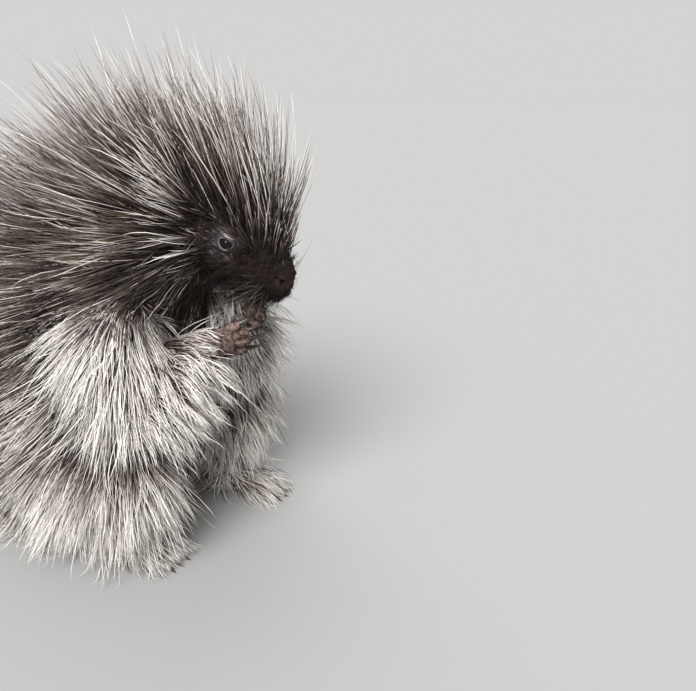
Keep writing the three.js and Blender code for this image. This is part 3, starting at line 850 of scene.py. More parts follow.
def trunk_coat(roots):
    """Long hair that fans back from the face, longest on the ridge and short on the belly."""
    ridge = ridge_of(roots)
    x, _, z = roots.points.T
    centre = mix(FACE_FAN, RIDGE_FAN, ridge[:, None])
    lower_back = ridge * (1 - smoothstep(z, 140, 300))
    back = fanned(roots, centre, 0.5, 0.25 + 1.1 * lower_back, drop=0.55 * lower_back)
    ridge_long = BACK_LONG + (NAPE_LONG - BACK_LONG) * smoothstep(x, 60, 120)
    long = FLANK_LONG + (ridge_long - FLANK_LONG) * ridge * smoothstep(z, 60, 330)
    turn = np.degrees(roots.angle)
    belly = smoothstep(-turn, 20, 50) * smoothstep(180 + turn, 20, 50)
    out, lie = blended(back, fanned(roots, FACE_FAN, 0.5, 0.6), belly)
    return out, lie, mix(long, BELLY_LONG, belly)


def head_zones(roots):
    """How much of each root's hair is that of the crest, and of the cheeks behind the eye."""
    aside = np.abs(np.degrees(roots.angle) - 90)
    crown = (1 - smoothstep(aside, 42, 68)) * (1 - smoothstep(roots.t, 0.53, 0.62))
    bridge = (1 - smoothstep(aside, 26, 50)) * (1 - smoothstep(roots.t, 0.74, 0.86))
    behind = 1 - smoothstep(roots.local[:, 0], -36, -8)
    return np.maximum(crown, bridge), behind


def head_coat(roots):
    """The crest, swept back from the nose, and the cheeks' hair behind the eye."""
    crest, behind = head_zones(roots)
    front = smoothstep(roots.t, 0.4, 0.62)
    swept = fanned(roots, RIDGE_FAN, 0.3, 0.05, (0.3 - 0.22 * front)[:, None])
    out, lie = blended(fanned(roots, FACE_FAN, 0.35, 0.1), swept, crest)
    crest_long = CREST_LONG - 20 * smoothstep(roots.points[:, 0], 192, 235)
    crest_long = mix(crest_long, CREST_FRONT_LONG, smoothstep(roots.t, 0.5, 0.78) ** 0.7)
    strength = np.maximum(crest, behind)
    long = mix(CHEEK_LONG * behind, crest_long, crest) * mix(0.4, 1, smoothstep(strength, 0, 0.8))
    return out, lie, long


def tail_coat(roots):
    out = unit(mix(np.array([-1, 0.12, 0]), roots.normals, 0.38))
    lie = unit(mix(np.array([-1, 0.16, -0.1]), roots.normals, 0.1))
    return out, lie, np.full(len(roots), TAIL_LONG)


def leg_coat(centre, offset, stand, fall, long, ahead, left_fall, left_long):
    """The coat of a leg's forms, which fans out from a point on each side."""

    def lay(roots):
        left = roots.left()
        middle = np.where(left[:, None], joint(centre, LEFT, offset), joint(centre, RIGHT))
        front = smoothstep(roots.normals[:, :1], -0.3, 0.6)
        out, lie = fanned(roots, middle, stand, fall + left * left_fall, sweep=-ahead * front)
        return out, lie, long * np.where(left, left_long, 1.0)

    return lay


def forearm_coat(roots):
    """Hair that runs along the forearm towards the hand and hangs over from it in arcs."""
    ahead = unit(roots.of_leg(fore_legs, "wrist") - roots.of_leg(fore_legs, "elbow"))
    out = unit(ahead * 0.75 + roots.normals * 0.6 + np.array((0.25, 0, 0)))
    lie = unit(ahead * 0.25 + roots.normals * 0.25 + np.array((0.3, 0, -0.95)))
    return out, lie, np.where(roots.left(), FOREARM_LONG[LEFT], FOREARM_LONG[RIGHT])


def foot_coat(roots):
    """Hair of the foot, which runs forward and bends down over the toes."""
    out = unit(mix(np.array([1, 0, 0.2]), roots.normals, 0.45))
    lie = unit(mix(np.array([0.75, 0, -0.9]), roots.normals, 0.1))
    on_top = smoothstep(roots.normals[:, 2], -0.4, 0.3)
    base = roots.of_leg(hind_legs, "base")
    behind = 1 - smoothstep(roots.points[:, 0] - base[:, 0], -12, 22)
    return out, lie, mix(TOE_LONG, FOOT_LONG, on_top * behind)


def along_hand(roots):
    """How far a root is from the wrist towards the roots of the digits."""
    gap = roots.points - roots.of_leg(fore_legs, "wrist")
    hand = fore_legs[RIGHT]
    return dot(gap, roots.of_leg(fore_legs, "forward")) / np.linalg.norm(hand.base - hand.wrist)


def hand_coat(roots):
    """Hair of the wrist, which runs along the hand and is short at the digits."""
    forward = roots.of_leg(fore_legs, "forward")
    out = unit(forward + roots.normals * 0.6 - (0, 0, 0.15))
    lie = unit(forward + roots.normals * 0.25 - (0, 0, 0.55))
    return out, lie, mix(WRIST_LONG, FINGER_LONG, smoothstep(along_hand(roots), -0.4, 0.6))


long_coats = {
    "head": head_coat,
    "neck": trunk_coat,
    "torso": trunk_coat,
    "tail": tail_coat,
    "upper_arm": leg_coat(ARM_FAN, None, 0.55, 0.35, ARM_LONG, 0.3, 0.4, 0.8),
    "forearm": forearm_coat,
    "forepaw": hand_coat,
    "thigh": leg_coat(LEG_FAN, LEFT_KNEE_OFFSET, 0.3, 0.6, THIGH_LONG, 0.05, 0.9, 0.7),
    "shin": leg_coat(LEG_FAN, LEFT_KNEE_OFFSET, 0.3, 0.5, SHIN_LONG, 0.15, 0.9, 0.72),
    "hind_foot": foot_coat,
}


def laid(roots):
    """The way out, the lie and the length of the long coat at each root."""
    out, lie = np.zeros((2, len(roots), 3))
    long = np.zeros(len(roots))
    for name, lay in long_coats.items():
        here = roots.on(name)
        if here.any():
            out[here], lie[here], long[here] = lay(roots.pick(here))
    return out, lie, long


# How many of the strands of each part are pale, in the photo's shade of each; on the limbs partly
# their pale coat and partly painted sunlight
PALE_AND_SUNLIT_SHARES = {
    "upper_arm": 0.88, "forearm": 0.85, "forepaw": 0.8,
    "thigh": 0.92, "shin": 0.88, "hind_foot": 0.85,
}
OTHER_PALE_SHARE = 0.3
PALE_TONE, DARK_TONE = 0.54, 0.08
TONE_STRAY, LOCK_TONE_STRAY = 0.1, 0.14


def crest_ends(roots, crest):
    """How far forward a root is on the head, and how far along the crest's end on the nose."""
    return smoothstep(roots.t, 0.36, 0.5), crest * smoothstep(roots.t, 0.56, 0.7)


def paleness_and_painted_light(roots):
    """The share of strands that are pale to their tips, by place on the body. Partly the coat's own
    colour and partly painted light: many pale strands on the limbs and lower flanks stand for
    sunlight, few on the back's ridge and top stand for shade.
    """
    share = np.full(len(roots), OTHER_PALE_SHARE)
    for part, pale in PALE_AND_SUNLIT_SHARES.items():
        share[roots.on(part)] = pale
    trunk = roots.on("torso", "neck")
    # Painted shade on the back's ridge and top, painted sunlight on the lower flanks
    flank = (1 - ridge_of(roots)) * (1 - smoothstep(roots.points[:, 2], 150, 290))
    share[trunk] = mix(0.09, 0.62, flank[trunk])
    crest, behind = head_zones(roots)
    strength = smoothstep(np.maximum(crest, behind), 0.3, 0.95)
    front, nose_end = crest_ends(roots, crest)
    of_head = mix(0.62, 0.3 + 0.12 * front, crest) * mix(0.25, 1, strength) * (1 - 0.8 * nose_end)
    return np.where(roots.on("head"), of_head, share)


def paling_and_painted_light(roots):
    """How much nearer to their roots the strands turn pale, by place on the body. On the head it is
    the coat's own colour; on the upper arms and lower legs it is partly painted sunlight, and the
    darker tops of the legs under the arms' hair are a painted shadow.
    """
    crest, behind = head_zones(roots)
    front, nose_end = crest_ends(roots, crest)
    of_head = 0.05 * behind * (1 - crest) + 0.08 * (crest * front) - 0.15 * nose_end - 0.05
    # Painted sunlight on the lower legs, and a painted shadow on the legs' tops under the arms'
    # hair
    of_leg = 0.16 - 0.32 * smoothstep(roots.points[:, 2], 92, 140)
    # Partly painted sunlight on the upper arms
    of_arm = 0.22 * roots.on("upper_arm")
    return roots.on("head") * of_head + of_arm + roots.on("thigh", "shin") * of_leg


HAIR_CLEAR = 1.5


def pushed_out(paths):
    """Points of the hair moved out of the body they would pass through."""
    points = paths.reshape(-1, 3)
    for _, form, _ in forms:
        index = np.flatnonzero(form.near(points))
        if not len(index):
            continue
        t, _, gap = form.local(points[index])
        inside = gap < HAIR_CLEAR
        index, t, gap = index[inside], t[inside], gap[inside]
        points[index] += unit(points[index] - form.at(t)[0]) * (HAIR_CLEAR - gap)[:, None]
    return points.reshape(paths.shape)


def strays(rng, size, shape):
    """Random turns of the hair, none of them wild."""
    return np.clip(rng.normal(0, size, shape), -1.8 * size, 1.8 * size)


CELL_PRIMES = (73856093, 19349663, 83492791)
LOCK_LENGTHS = (0.82, 1.12)
WAVE_LENGTHS = (60, 100)


def locks_of(points, size):
    """The number of the lock that each root belongs to, in wavy cells of about this size."""
    place = points / size
    cell = np.floor(place + 0.5 * np.sin(place[:, [1, 2, 0]] * 1.7)).astype(np.int64)
    a, b, c = (cell * CELL_PRIMES).T
    return np.unique(a ^ b ^ c, return_inverse=True)[1]


def hair_paths(
    roots, out, lie, long, steps, rng,
    wave=0.0, clump=0.0, clump_size=9.0, stray=0.12, sink=3.0, vary=(0.72, 1.08),
):
    """Each hair's line: it leaves along `out`, bends to `lie`, waves, and runs into its lock."""
    n = len(roots)
    lock = locks_of(roots.points, clump_size)
    locks = lock.max() + 1
    lock_stray = strays(rng, stray, (locks, 3))[lock]
    own_stray = strays(rng, stray * 0.6, (n, 3))
    long = long * rng.uniform(*LOCK_LENGTHS, locks)[lock] * rng.uniform(*vary, n)
    out = unit(out + lock_stray + own_stray)
    lie = unit(lie + lock_stray * 1.3 + own_stray)
    s = np.linspace(0, 1, steps + 1)
    bend = smoothstep(s, 0.0, 0.75)
    way = unit(mix(out[:, None], lie[:, None], bend[None, :, None]))
    middle = (way[:, 1:] + way[:, :-1]) / 2 * (long / steps)[:, None, None]
    start = roots.points - roots.normals * sink
    paths = np.concatenate([start[:, None], start[:, None] + np.cumsum(middle, 1)], 1)
    if wave:
        across = unit(np.cross(lie, roots.normals) + 1e-3)
        lift = np.cross(across, lie)
        turn = 2 * np.pi * (s * (long / rng.uniform(*WAVE_LENGTHS, n))[:, None])
        phase = rng.uniform(0, 2 * np.pi, locks)[lock][:, None] + rng.normal(0, 0.5, (n, 1))
        size = (wave * s * rng.uniform(0.5, 1.3, (n, 1)))[..., None]
        paths += across[:, None] * size * np.sin(turn + phase)[..., None]
        paths += lift[:, None] * size * 0.6 * np.cos(turn * 0.8 + phase * 1.3)[..., None]
    if clump:
        columns = [np.bincount(lock, values, locks) for values in paths.reshape(n, -1).T]
        mean = np.stack(columns, 1) / np.bincount(lock, minlength=locks)[:, None]
        mean = mean.reshape(locks, steps + 1, 3)[lock]
        pull = clump * rng.uniform(0.5, 1.2, (n, 1)) * s**1.3
        paths = mix(paths, mean, np.clip(pull, 0, 0.92)[..., None])
    paths[:, 1:] = pushed_out(paths[:, 1:].copy())
    for _ in range(2):
        between = (paths[:, :-2] + paths[:, 2:]) / 2
        paths[:, 1:-1] = mix(paths[:, 1:-1], between, 0.5)
    paths[:, 1:] = pushed_out(paths[:, 1:].copy())
    return paths, lock


def held_in(paths):
    """Hair shortened to stay within the reach of the solids, and bent to stay over the floor."""
    low, high = np.array(CAD_LOW) / MM - BOX_MARGIN, np.array(CAD_HIGH) / MM + BOX_MARGIN
    low[2] = -1e3
    way = paths - paths[:, :1]
    room = np.where(way > 0, high - paths[:, :1], paths[:, :1] - low)
    share = (room / np.maximum(np.abs(way), 1e-6)).min((1, 2))
    paths = paths[:, :1] + way * np.minimum(share, 1)[:, None, None]
    paths[..., 2] = np.maximum(paths[..., 2], HAIR_FLOOR)
    return paths


def tufts(name, roots, paths, radius, tone, profile, material, labels):
    """One mesh of closed, three-sided tapered tufts along the paths."""
    paths = held_in(paths)
    n, rings = len(paths), paths.shape[1] - 1
    along = unit(np.gradient(paths, axis=1))
    across = unit(np.cross(along, roots.normals[:, None]) + 1e-4)
    face = np.cross(along, across)
    share = np.linspace(0, 1, rings + 1)
    width = np.interp(share, *profile)[None, :, None] * radius[:, None, None]
    ring = [
        paths[:, :-1] + (across * math.cos(a) + face * math.sin(a) * 0.8)[:, :-1] * width[:, :-1]
        for a in 2 * np.pi * np.arange(3) / 3 + np.pi / 2
    ]
    body = np.stack(ring, 2).reshape(n, rings * 3, 3)
    points = np.concatenate([body, paths[:, -1:]], 1).reshape(-1, 3)
    per = rings * 3 + 1
    quads = wall(rings - 1, 3)
    tips = [(3 * rings - 3 + j, 3 * rings - 3 + (j + 1) % 3, 3 * rings) for j in range(3)]
    loops = np.concatenate([np.ravel(quads), np.ravel(tips)])
    starts = np.concatenate([np.arange(len(quads)) * 4, len(quads) * 4 + np.arange(3) * 3])
    shift = np.arange(n)[:, None]
    mesh = bpy.data.meshes.new(name)
    mesh.vertices.add(n * per)
    mesh.loops.add(n * len(loops))
    mesh.loops.foreach_set("vertex_index", (shift * per + loops).astype(np.int32).ravel())
    mesh.polygons.add(n * len(starts))
    mesh.polygons.foreach_set("loop_start", (shift * len(loops) + starts).astype(np.int32).ravel())
    shade_smooth(mesh)
    mesh.vertices.foreach_set("co", (points * MM).astype(np.float32).ravel())
    mesh.update(calc_edges=True)
    ring_share = np.append(np.repeat(share[:-1], 3), 1.0)
    put(mesh, "strand", "FLOAT", np.tile(ring_share, n))
    put(mesh, "tone", "FLOAT", np.repeat(tone, per))
    put(mesh, "marking", "FLOAT_COLOR", np.repeat(marking(roots.points), per, 0))
    bake_map(mesh, roots, ring_share, loops, labels)
    mesh.materials.append(material)
    thing = linked(name, mesh)
    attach(thing, "root")
    return thing


BAKE_PATCH = 0.003
BAKE_EDGE_U, BAKE_EDGE_V = 0.02, 0.01


def bake_map(mesh, roots, ring_share, loops, labels):
    """The bake map: each tuft has a small patch at its root's place on the forms, unrolled."""
    column = np.zeros(len(roots))
    for index, label in enumerate(labels):
        column[roots.label == label] = index
    turn = roots.angle / (2 * np.pi) + 0.5
    u = (column + BAKE_EDGE_U + (1 - 2 * BAKE_EDGE_U) * turn) / len(labels)
    v = BAKE_EDGE_V + (1 - 2 * BAKE_EDGE_V) * roots.t
    across = np.append(np.tile([0.0, 0.5, 1.0], len(ring_share) // 3), 0.5)
    patch = np.stack([across, ring_share], 1)[loops] * BAKE_PATCH
    uv = np.stack([u, v], 1)[:, None] * (1 - BAKE_PATCH) + patch
    layer = mesh.uv_layers.new(name="OFBake")
    layer.uv.foreach_set("vector", uv.astype(np.float32).ravel())


def marking(points):
    """The colour of skin and hair roots at each point, shared by skin and coat."""
    local = from_head(points)
    near = mirrored(local)
    colour = np.tile(np.array(ROOT_BROWN), (len(points), 1))

    def painted(tint, share):
        return mix(colour, np.array(tint), share[:, None])

    within = (np.abs(local[:, 2]) < 70) & (np.abs(local[:, 1]) < 60)
    colour = painted(FACE_BROWN, smoothstep(local[:, 0], -50, -15) * within)
    colour = painted(NOSE_BROWN, 1 - smoothstep(span(local - (58, 0, -20)), 10, 24))
    # Painted shade: the inside of each nostril is darkened
    inside = 1 - smoothstep(span(near - NOSTRIL + (1.5, 0.8, 0)), 2.2, 4.2)
    colour = colour * (1 - 0.85 * inside[:, None])
    bare = 1 - smoothstep(span((near - EYE - (-9, 0, -4)) * (0.5, 1, 0.75)), 10, 16)
    colour = painted(RIM_GREY, bare * 0.8)
    outside, ahead = eye_opening(near)
    edge = np.exp(-(((outside - 0.9) / 0.8) ** 2)) * (ahead > 2)
    lower_rear = smoothstep(-dot(near - EYE, EYE_AHEAD + EYE_HIGH), -2, 3)
    colour = painted(LID_GREY, edge * lower_rear)
    for leg in all_legs:
        paw = 1 - smoothstep(span(points - leg.base), 34, 52)
        colour = painted(PALM_PINK, paw * leg.bareness)
    return np.concatenate([colour, np.ones((len(points), 1))], 1)


# Materials


def new_material(name, **values):
    """A material with its Principled shader, whose named sockets get plain values."""
    material = bpy.data.materials.new(name)
    material.use_nodes = True
    shader = material.node_tree.nodes["Principled BSDF"]
    for socket, value in values.items():
        shader.inputs[socket.replace("_", " ")].default_value = value
    return material, material.node_tree, shader


def add_node(tree, kind, inputs=None, **settings):
    """A shader node with its settings; each of its inputs gets a plain value or a link."""
    node = tree.nodes.new(f"ShaderNode{kind}")
    for setting, value in settings.items():
        setattr(node, setting, value)
    for socket, value in (inputs or {}).items():
        if isinstance(value, bpy.types.NodeSocket):
            tree.links.new(value, node.inputs[socket])
        else:
            node.inputs[socket].default_value = value
    return node


def attribute(tree, name, output="Fac"):
    return add_node(tree, "Attribute", attribute_name=name).outputs[output]


def maths(tree, operation, a, b):
    return add_node(tree, "Math", {0: a, 1: b}, operation=operation).outputs[0]


def ramp(tree, factor, stops):
    node = add_node(tree, "ValToRGB", {0: factor})
    node.color_ramp.interpolation = "EASE"
    elements = node.color_ramp.elements
    while len(elements) < len(stops):
        elements.new(0.5)
    for element, (place, colour) in zip(elements, stops):
        element.position = place
        element.color = (*colour, 1)
    return node.outputs[0]


def mixed(tree, factor, a, b, blend="MIX"):
    inputs = {"Factor": factor, "A": a, "B": b}
    return add_node(tree, "Mix", inputs, data_type="RGBA", blend_type=blend).outputs["Result"]


def noise(tree, scale, detail=3.0, stretch=None):
    place = add_node(tree, "TexCoord").outputs["Object"]
    if stretch:
        place = add_node(tree, "Mapping", {"Scale": stretch, "Vector": place}).outputs["Vector"]
    inputs = {"Scale": scale, "Detail": detail, "Vector": place}
    return add_node(tree, "TexNoise", inputs).outputs[0]


def bump(tree, shader, height, strength, distance):
    node = add_node(tree, "Bump", {"Strength": strength, "Distance": distance, "Height": height})
    tree.links.new(node.outputs[0], shader.inputs["Normal"])


def hair_material(name, stops, spread, roughness=0.5, shine=0.35):
    """Hair that runs from the marking's colour at its root through `stops` to its tip."""
    material, tree, shader = new_material(name, Roughness=roughness, Specular_IOR_Level=shine)
    strand = attribute(tree, "strand")
    shift = maths(tree, "MULTIPLY", maths(tree, "SUBTRACT", attribute(tree, "tone"), 0.5), spread)
    banding = maths(tree, "MULTIPLY", maths(tree, "SUBTRACT", noise(tree, 38), 0.5), 0.25)
    place = maths(tree, "ADD", maths(tree, "ADD", strand, shift), banding)
    rooted = ramp(tree, strand, [(0.0, (1, 1, 1)), (0.28, (0, 0, 0))])
    colour = mixed(tree, rooted, ramp(tree, place, stops), attribute(tree, "marking", "Color"))
    tree.links.new(colour, shader.inputs["Base Color"])
    return material


def skin_material():
    material, tree, shader = new_material(
        "skin_and_short_fur", Roughness=0.75, Specular_IOR_Level=0.16
    )
    patches = ramp(tree, noise(tree, 90, 4), [(0.3, (0.55, 0.55, 0.55)), (0.75, (1.25, 1.2, 1.15))])
    colour = mixed(tree, 1, attribute(tree, "marking", "Color"), patches, "MULTIPLY")
    tree.links.new(colour, shader.inputs["Base Color"])
    bump(tree, shader, noise(tree, 900, 2), 0.5, 0.0006)
    return material


guard_hair = hair_material("guard_hair", [
    (0.0, ROOT_BROWN), (0.24, (0.066, 0.040, 0.029)),
    (0.44, MIDDLE_GREY), (0.66, PALE_GREY), (0.95, TIP_CREAM),
], 0.95)
wool = hair_material("underfur", [
    (0.0, ROOT_BROWN), (0.5, (0.035, 0.026, 0.022)),
    (0.75, (0.085, 0.07, 0.062)), (1.0, (0.23, 0.195, 0.18)),
], 0.8, 0.8)
short_fur = hair_material("short_fur", [
    (0.0, FACE_BROWN), (0.6, (0.021, 0.014, 0.0125)), (1.0, (0.06, 0.044, 0.04)),
], 0.5, 0.6, 0.12)
whisker_hair = hair_material("whiskers", [
    (0.0, FACE_BROWN), (0.35, (0.10, 0.08, 0.07)), (1.0, (0.42, 0.38, 0.34)),
], 0.5, 0.4)
quill_horn = hair_material("quills", [
    (0.0, QUILL_CREAM), (0.62, QUILL_CREAM), (0.78, (0.10, 0.07, 0.05)), (1.0, (0.03, 0.02, 0.018)),
], 0.25, 0.35)

# The skin, which stands for every node of flesh

skin = make_skin()
skin_mesh = skin.data
put(skin_mesh, "marking", "FLOAT_COLOR", marking(corners(skin_mesh)))
skin_mesh.materials.append(skin_material())
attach(skin, "root")
paired = ("ear", "upper_arm", "forearm", "forepaw", "thigh", "shin", "hind_foot")
flesh_nodes = ["torso", "neck", "tail", "head", "lower_jaw"]
flesh_nodes += [f"{part}_{side}" for side in SIDES.values() for part in paired]
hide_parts(*flesh_nodes)
print("skin triangles", sum(len(p.vertices) - 2 for p in skin_mesh.polygons))

# The coat

rng = np.random.default_rng(26)
DENSITY = 1.0
PIECE_LIMIT = 190000
SHORTEST_HAIR = 2
TUFT_WIDTHS = (0.75, 1.2)

# A tuft's width along it: shares of its length, and shares of its radius
HAIR_PROFILE = ([0, 0.12, 0.5, 0.85, 1], [0.8, 1, 0.9, 0.5, 0.1])
QUILL_PROFILE = ([0, 0.1, 0.75, 0.9, 1], [0.7, 1, 0.95, 0.5, 0.05])

# The forms that each part's pieces of coat grow on
COAT_PARTS = {
    "head": ["head"],
    "neck": ["neck"],
    "torso": ["torso"],
    "tail": ["tail"],
    "arms": ["upper_arm", "forearm", "forepaw"],
    "legs": ["thigh", "shin", "hind_foot"],
}


def lay_coat(
    name, count, weigh, steps, radius, profile, material, slot, style,
    share_pale=paleness_and_painted_light, wanted=None, **shape,
):
    """Scatters roots, keeps them by weight, and makes one or more pieces for each named part."""
    roots = scattered(skin_mesh, int(count * DENSITY), rng, wanted)
    roots = roots.pick(rng.random(len(roots)) < weigh(roots))
    out, lie, long = style(roots)
    enough = long > SHORTEST_HAIR
    roots, out, lie, long = roots.pick(enough), out[enough], lie[enough], long[enough]
    paths, lock = hair_paths(roots, out, lie, long, steps, rng, **shape)
    # The pale shares and the paling below carry painted sunlight and shadow on the limbs and
    # painted shade on the back
    share = share_pale(roots)
    pale = rng.random(len(roots)) < share
    tone = np.where(pale, PALE_TONE + 0.22 * share, DARK_TONE)
    tone = tone + strays(rng, TONE_STRAY, len(roots))
    tone += paling_and_painted_light(roots)
    lock_tone = rng.uniform(-LOCK_TONE_STRAY, LOCK_TONE_STRAY, lock.max() + 1)
    tone = np.clip(tone + lock_tone[lock], 0, 1)
    width = radius * rng.uniform(*TUFT_WIDTHS, len(roots))
    each = 6 * (steps - 1) + 3
    made = 0
    for part, group in COAT_PARTS.items():
        index = np.flatnonzero(roots.on(*group))
        if not len(index):
            continue
        index = index[np.argsort(roots.t[index], kind="stable")]
        pieces = math.ceil(len(index) * each / PIECE_LIMIT)
        labels = sorted(set(roots.label[index].tolist()))
        for k, chosen in enumerate(np.array_split(index, pieces)):
            piece_name = f"{name}_{part}" + (f"_{k + 1}" if pieces > 1 else "")
            drawn = roots.pick(chosen), paths[chosen], width[chosen], tone[chosen]
            piece = tufts(piece_name, *drawn, profile, material, labels)
        made += len(index)
    print(name, made, "tufts", made * each, "triangles")


def guard_weight(roots):
    """Where the long coat grows: not on the face, the digits, the soles or the seat."""
    z, up = roots.points[:, 2], roots.normals[:, 2]
    weight = np.ones(len(roots))
    for on, here in (
        (roots.on("head"), np.maximum(*head_zones(roots))),
        (roots.on("forepaw"), 1 - smoothstep(along_hand(roots), 0.1, 0.85)),
        (roots.on("hind_foot"), smoothstep(up, -0.2, 0.3)),
    ):
        weight[on] = here[on]
    weight *= 1 - (1 - smoothstep(z, 40, 90)) * smoothstep(-up, 0.75, 0.95)
    weight[z < LOWEST_GUARD_HAIR] = 0
    return weight


def mostly_pale(roots):
    share = paleness_and_painted_light(roots)
    return share + 0.45 * share ** 0.5 * (1 - share)


def under_style(roots):
    out, lie, long = laid(roots)
    return unit(out + roots.normals * 0.5), lie, np.minimum(long * 0.42, WOOL_LONG)


def off_the_coat(roots):
    """1 on the face, where the long coat doesn't grow, and 0 under crest and cheeks."""
    return np.where(roots.on("head"), 1 - np.maximum(*head_zones(roots)), 0.0)


def near_ear(roots):
    return from_spot(roots.local, EAR) < 20


def short_weight(roots):
    """Where short fur grows: on face and paws, not on the eye's rim or in the nostril."""
    weight = np.where(roots.on("head"), 0.35 + 0.65 * off_the_coat(roots), 0.0)
    weight[near_ear(roots)] = 1
    weight *= smoothstep(from_spot(roots.local, EYE), 8.2, 10.5)
    weight *= smoothstep(from_spot(roots.local, NOSTRIL), 4.5, 7.5)
    weight[roots.on("forepaw")] = 0.5
    weight[roots.on("hind_foot")] = 0.35
    weight[roots.points[:, 2] < LOWEST_FUR] = 0
    return weight


def flat_on(roots, way):
    """A way laid flat on the skin."""
    return unit(way - roots.normals * dot(way, roots.normals)[:, None])


def over_face(roots):
    """The lie of the face's fur: back from the nose, down over cheek and jaw."""
    below = smoothstep(-roots.local[:, 2], 8, 40)[:, None]
    return flat_on(roots, -HEAD_FORWARD * (1 - 0.5 * below) + HEAD_UP * mix(0.12, -1.1, below))


def short_style(roots):
    """Short flat fur: back over the face, and towards the toes on the paws."""
    long = mix(3.4, 9.0, smoothstep(-roots.local[:, 0], -48, 5))
    lip = smoothstep(roots.local[:, 0], 40, 54) * smoothstep(-roots.local[:, 2], 20, 30)
    long = long + 3.5 * lip
    lie = unit(over_face(roots) + (HEAD_FORWARD * 0.9 - HEAD_UP * 0.9) * lip[:, None])
    out = unit(lie + roots.normals * (0.38 + 0.6 * lip)[:, None])
    paws = roots.on("forepaw", "hind_foot")
    ahead = flat_on(roots, np.broadcast_to([1.0, 0, -0.2], (len(roots), 3)))
    lie[paws], out[paws] = ahead[paws], unit(ahead + roots.normals * 0.3)[paws]
    long[paws] = PAW_FUR_LONG
    return out, unit(lie + roots.normals * 0.12), long


def face_hair_weight(roots):
    """Longer hair of the face: thick on bridge, cheek and jaw, thin on the nose."""
    from_nostril = from_spot(roots.local, NOSTRIL)
    nose = smoothstep(-roots.local[:, 0], -62, -42) * smoothstep(from_nostril, 5, 9)
    weight = off_the_coat(roots) * nose * smoothstep(from_spot(roots.local, EYE), 13, 19)
    weight[near_ear(roots)] = 1
    return weight


def face_hair_style(roots):
    lie = over_face(roots)
    bridge = smoothstep(roots.normals @ HEAD_UP, 0.25, 0.8)
    jaw = smoothstep(-roots.local[:, 2], 22, 44)
    back = smoothstep(-roots.local[:, 0], -44, 0)
    long = mix(8, 16, back) + 8 * bridge + 12 * jaw
    stand = (mix(0.45, 1.5, bridge) + 0.3 * jaw)[:, None]
    return unit(lie + roots.normals * stand), unit(lie + roots.normals * stand * 0.45), long


def mostly_dark(roots):
    return 0.25


def whisker_weight(roots):
    """Only the pads at the sides of the muzzle."""
    pad = span((roots.local - (44, 0, -24)) * (1, 0, 1)) < 9
    aside = np.abs(roots.normals @ HEAD_LEFT) > 0.6
    return roots.on("head") * aside * pad


def whisker_style(roots):
    side = np.sign(roots.local[:, 1])[:, None]
    out = unit(roots.normals + HEAD_LEFT * side * 0.8)
    lie = unit(HEAD_LEFT * side - HEAD_FORWARD * 0.6 - HEAD_UP * 0.35)
    return out, lie, np.full(len(roots), WHISKER_LONG)


def quill_weight(roots):
    back = roots.on("torso", "neck") * (ridge_of(roots) > 0.2)
    return np.where(roots.on("tail") & (roots.normals[:, 2] > -0.1), 1.0, back * 0.25)


def quill_style(roots):
    out, lie, long = laid(roots)
    out = unit(out + roots.normals * 0.3)
    return out, unit(lie * 0.4 + out), np.minimum(long * 0.8, QUILL_LONG)


def near_fur(points):
    """Where the skin has short fur: the head and the paws."""
    return near_face(points) | near_paws(points, 60)


# Each coat: name, roots tried, where it grows, steps of a tuft, its radius and its profile,
# material, slot and lie. The order of the coats sets their random draws.
HAIR = HAIR_PROFILE, guard_hair, "long_coat", laid
WOOL = HAIR_PROFILE, wool, "long_coat", under_style
FACE_HAIR = HAIR_PROFILE, short_fur, "face_fur", face_hair_style
lay_coat("hair", 40500, guard_weight, 5, 0.5, *HAIR, wave=4.5, clump=0.5, vary=(0.62, 1.08))
lay_coat(
    "long_hair", 4200, guard_weight, 6, 0.62, *HAIR,
    share_pale=mostly_pale, wave=7.0, clump=0.15, stray=0.16, vary=(0.95, 1.25),
)
lay_coat("wool", 14500, guard_weight, 3, 0.8, *WOOL, clump=0.2, stray=0.3)
lay_coat(
    "fur", 24000, short_weight, 2, 0.34, HAIR_PROFILE, short_fur, "face_fur", short_style,
    wanted=near_fur, stray=0.14, sink=0.6,
)
lay_coat(
    "face_hair", 15000, face_hair_weight, 3, 0.26, *FACE_HAIR, share_pale=mostly_dark,
    wanted=near_face, stray=0.2, sink=0.8, clump=0.25, clump_size=5.0, vary=(0.6, 1.2),
)
lay_coat(
    "whiskers", 2000, whisker_weight, 6, 0.2, HAIR_PROFILE, whisker_hair, "face_fur", whisker_style,
    wanted=near_face, stray=0.3, sink=1.0, vary=(0.45, 1.25),
)
lay_coat(
    "quill", 9000, quill_weight, 4, 0.95, QUILL_PROFILE, quill_horn, "tail_coat", quill_style,
    stray=0.16,
)

# Eyes

EYE_ROWS, EYE_COLUMNS = 24, 36
CORNEA_RISE, CORNEA_EDGE = 0.35, 0.62


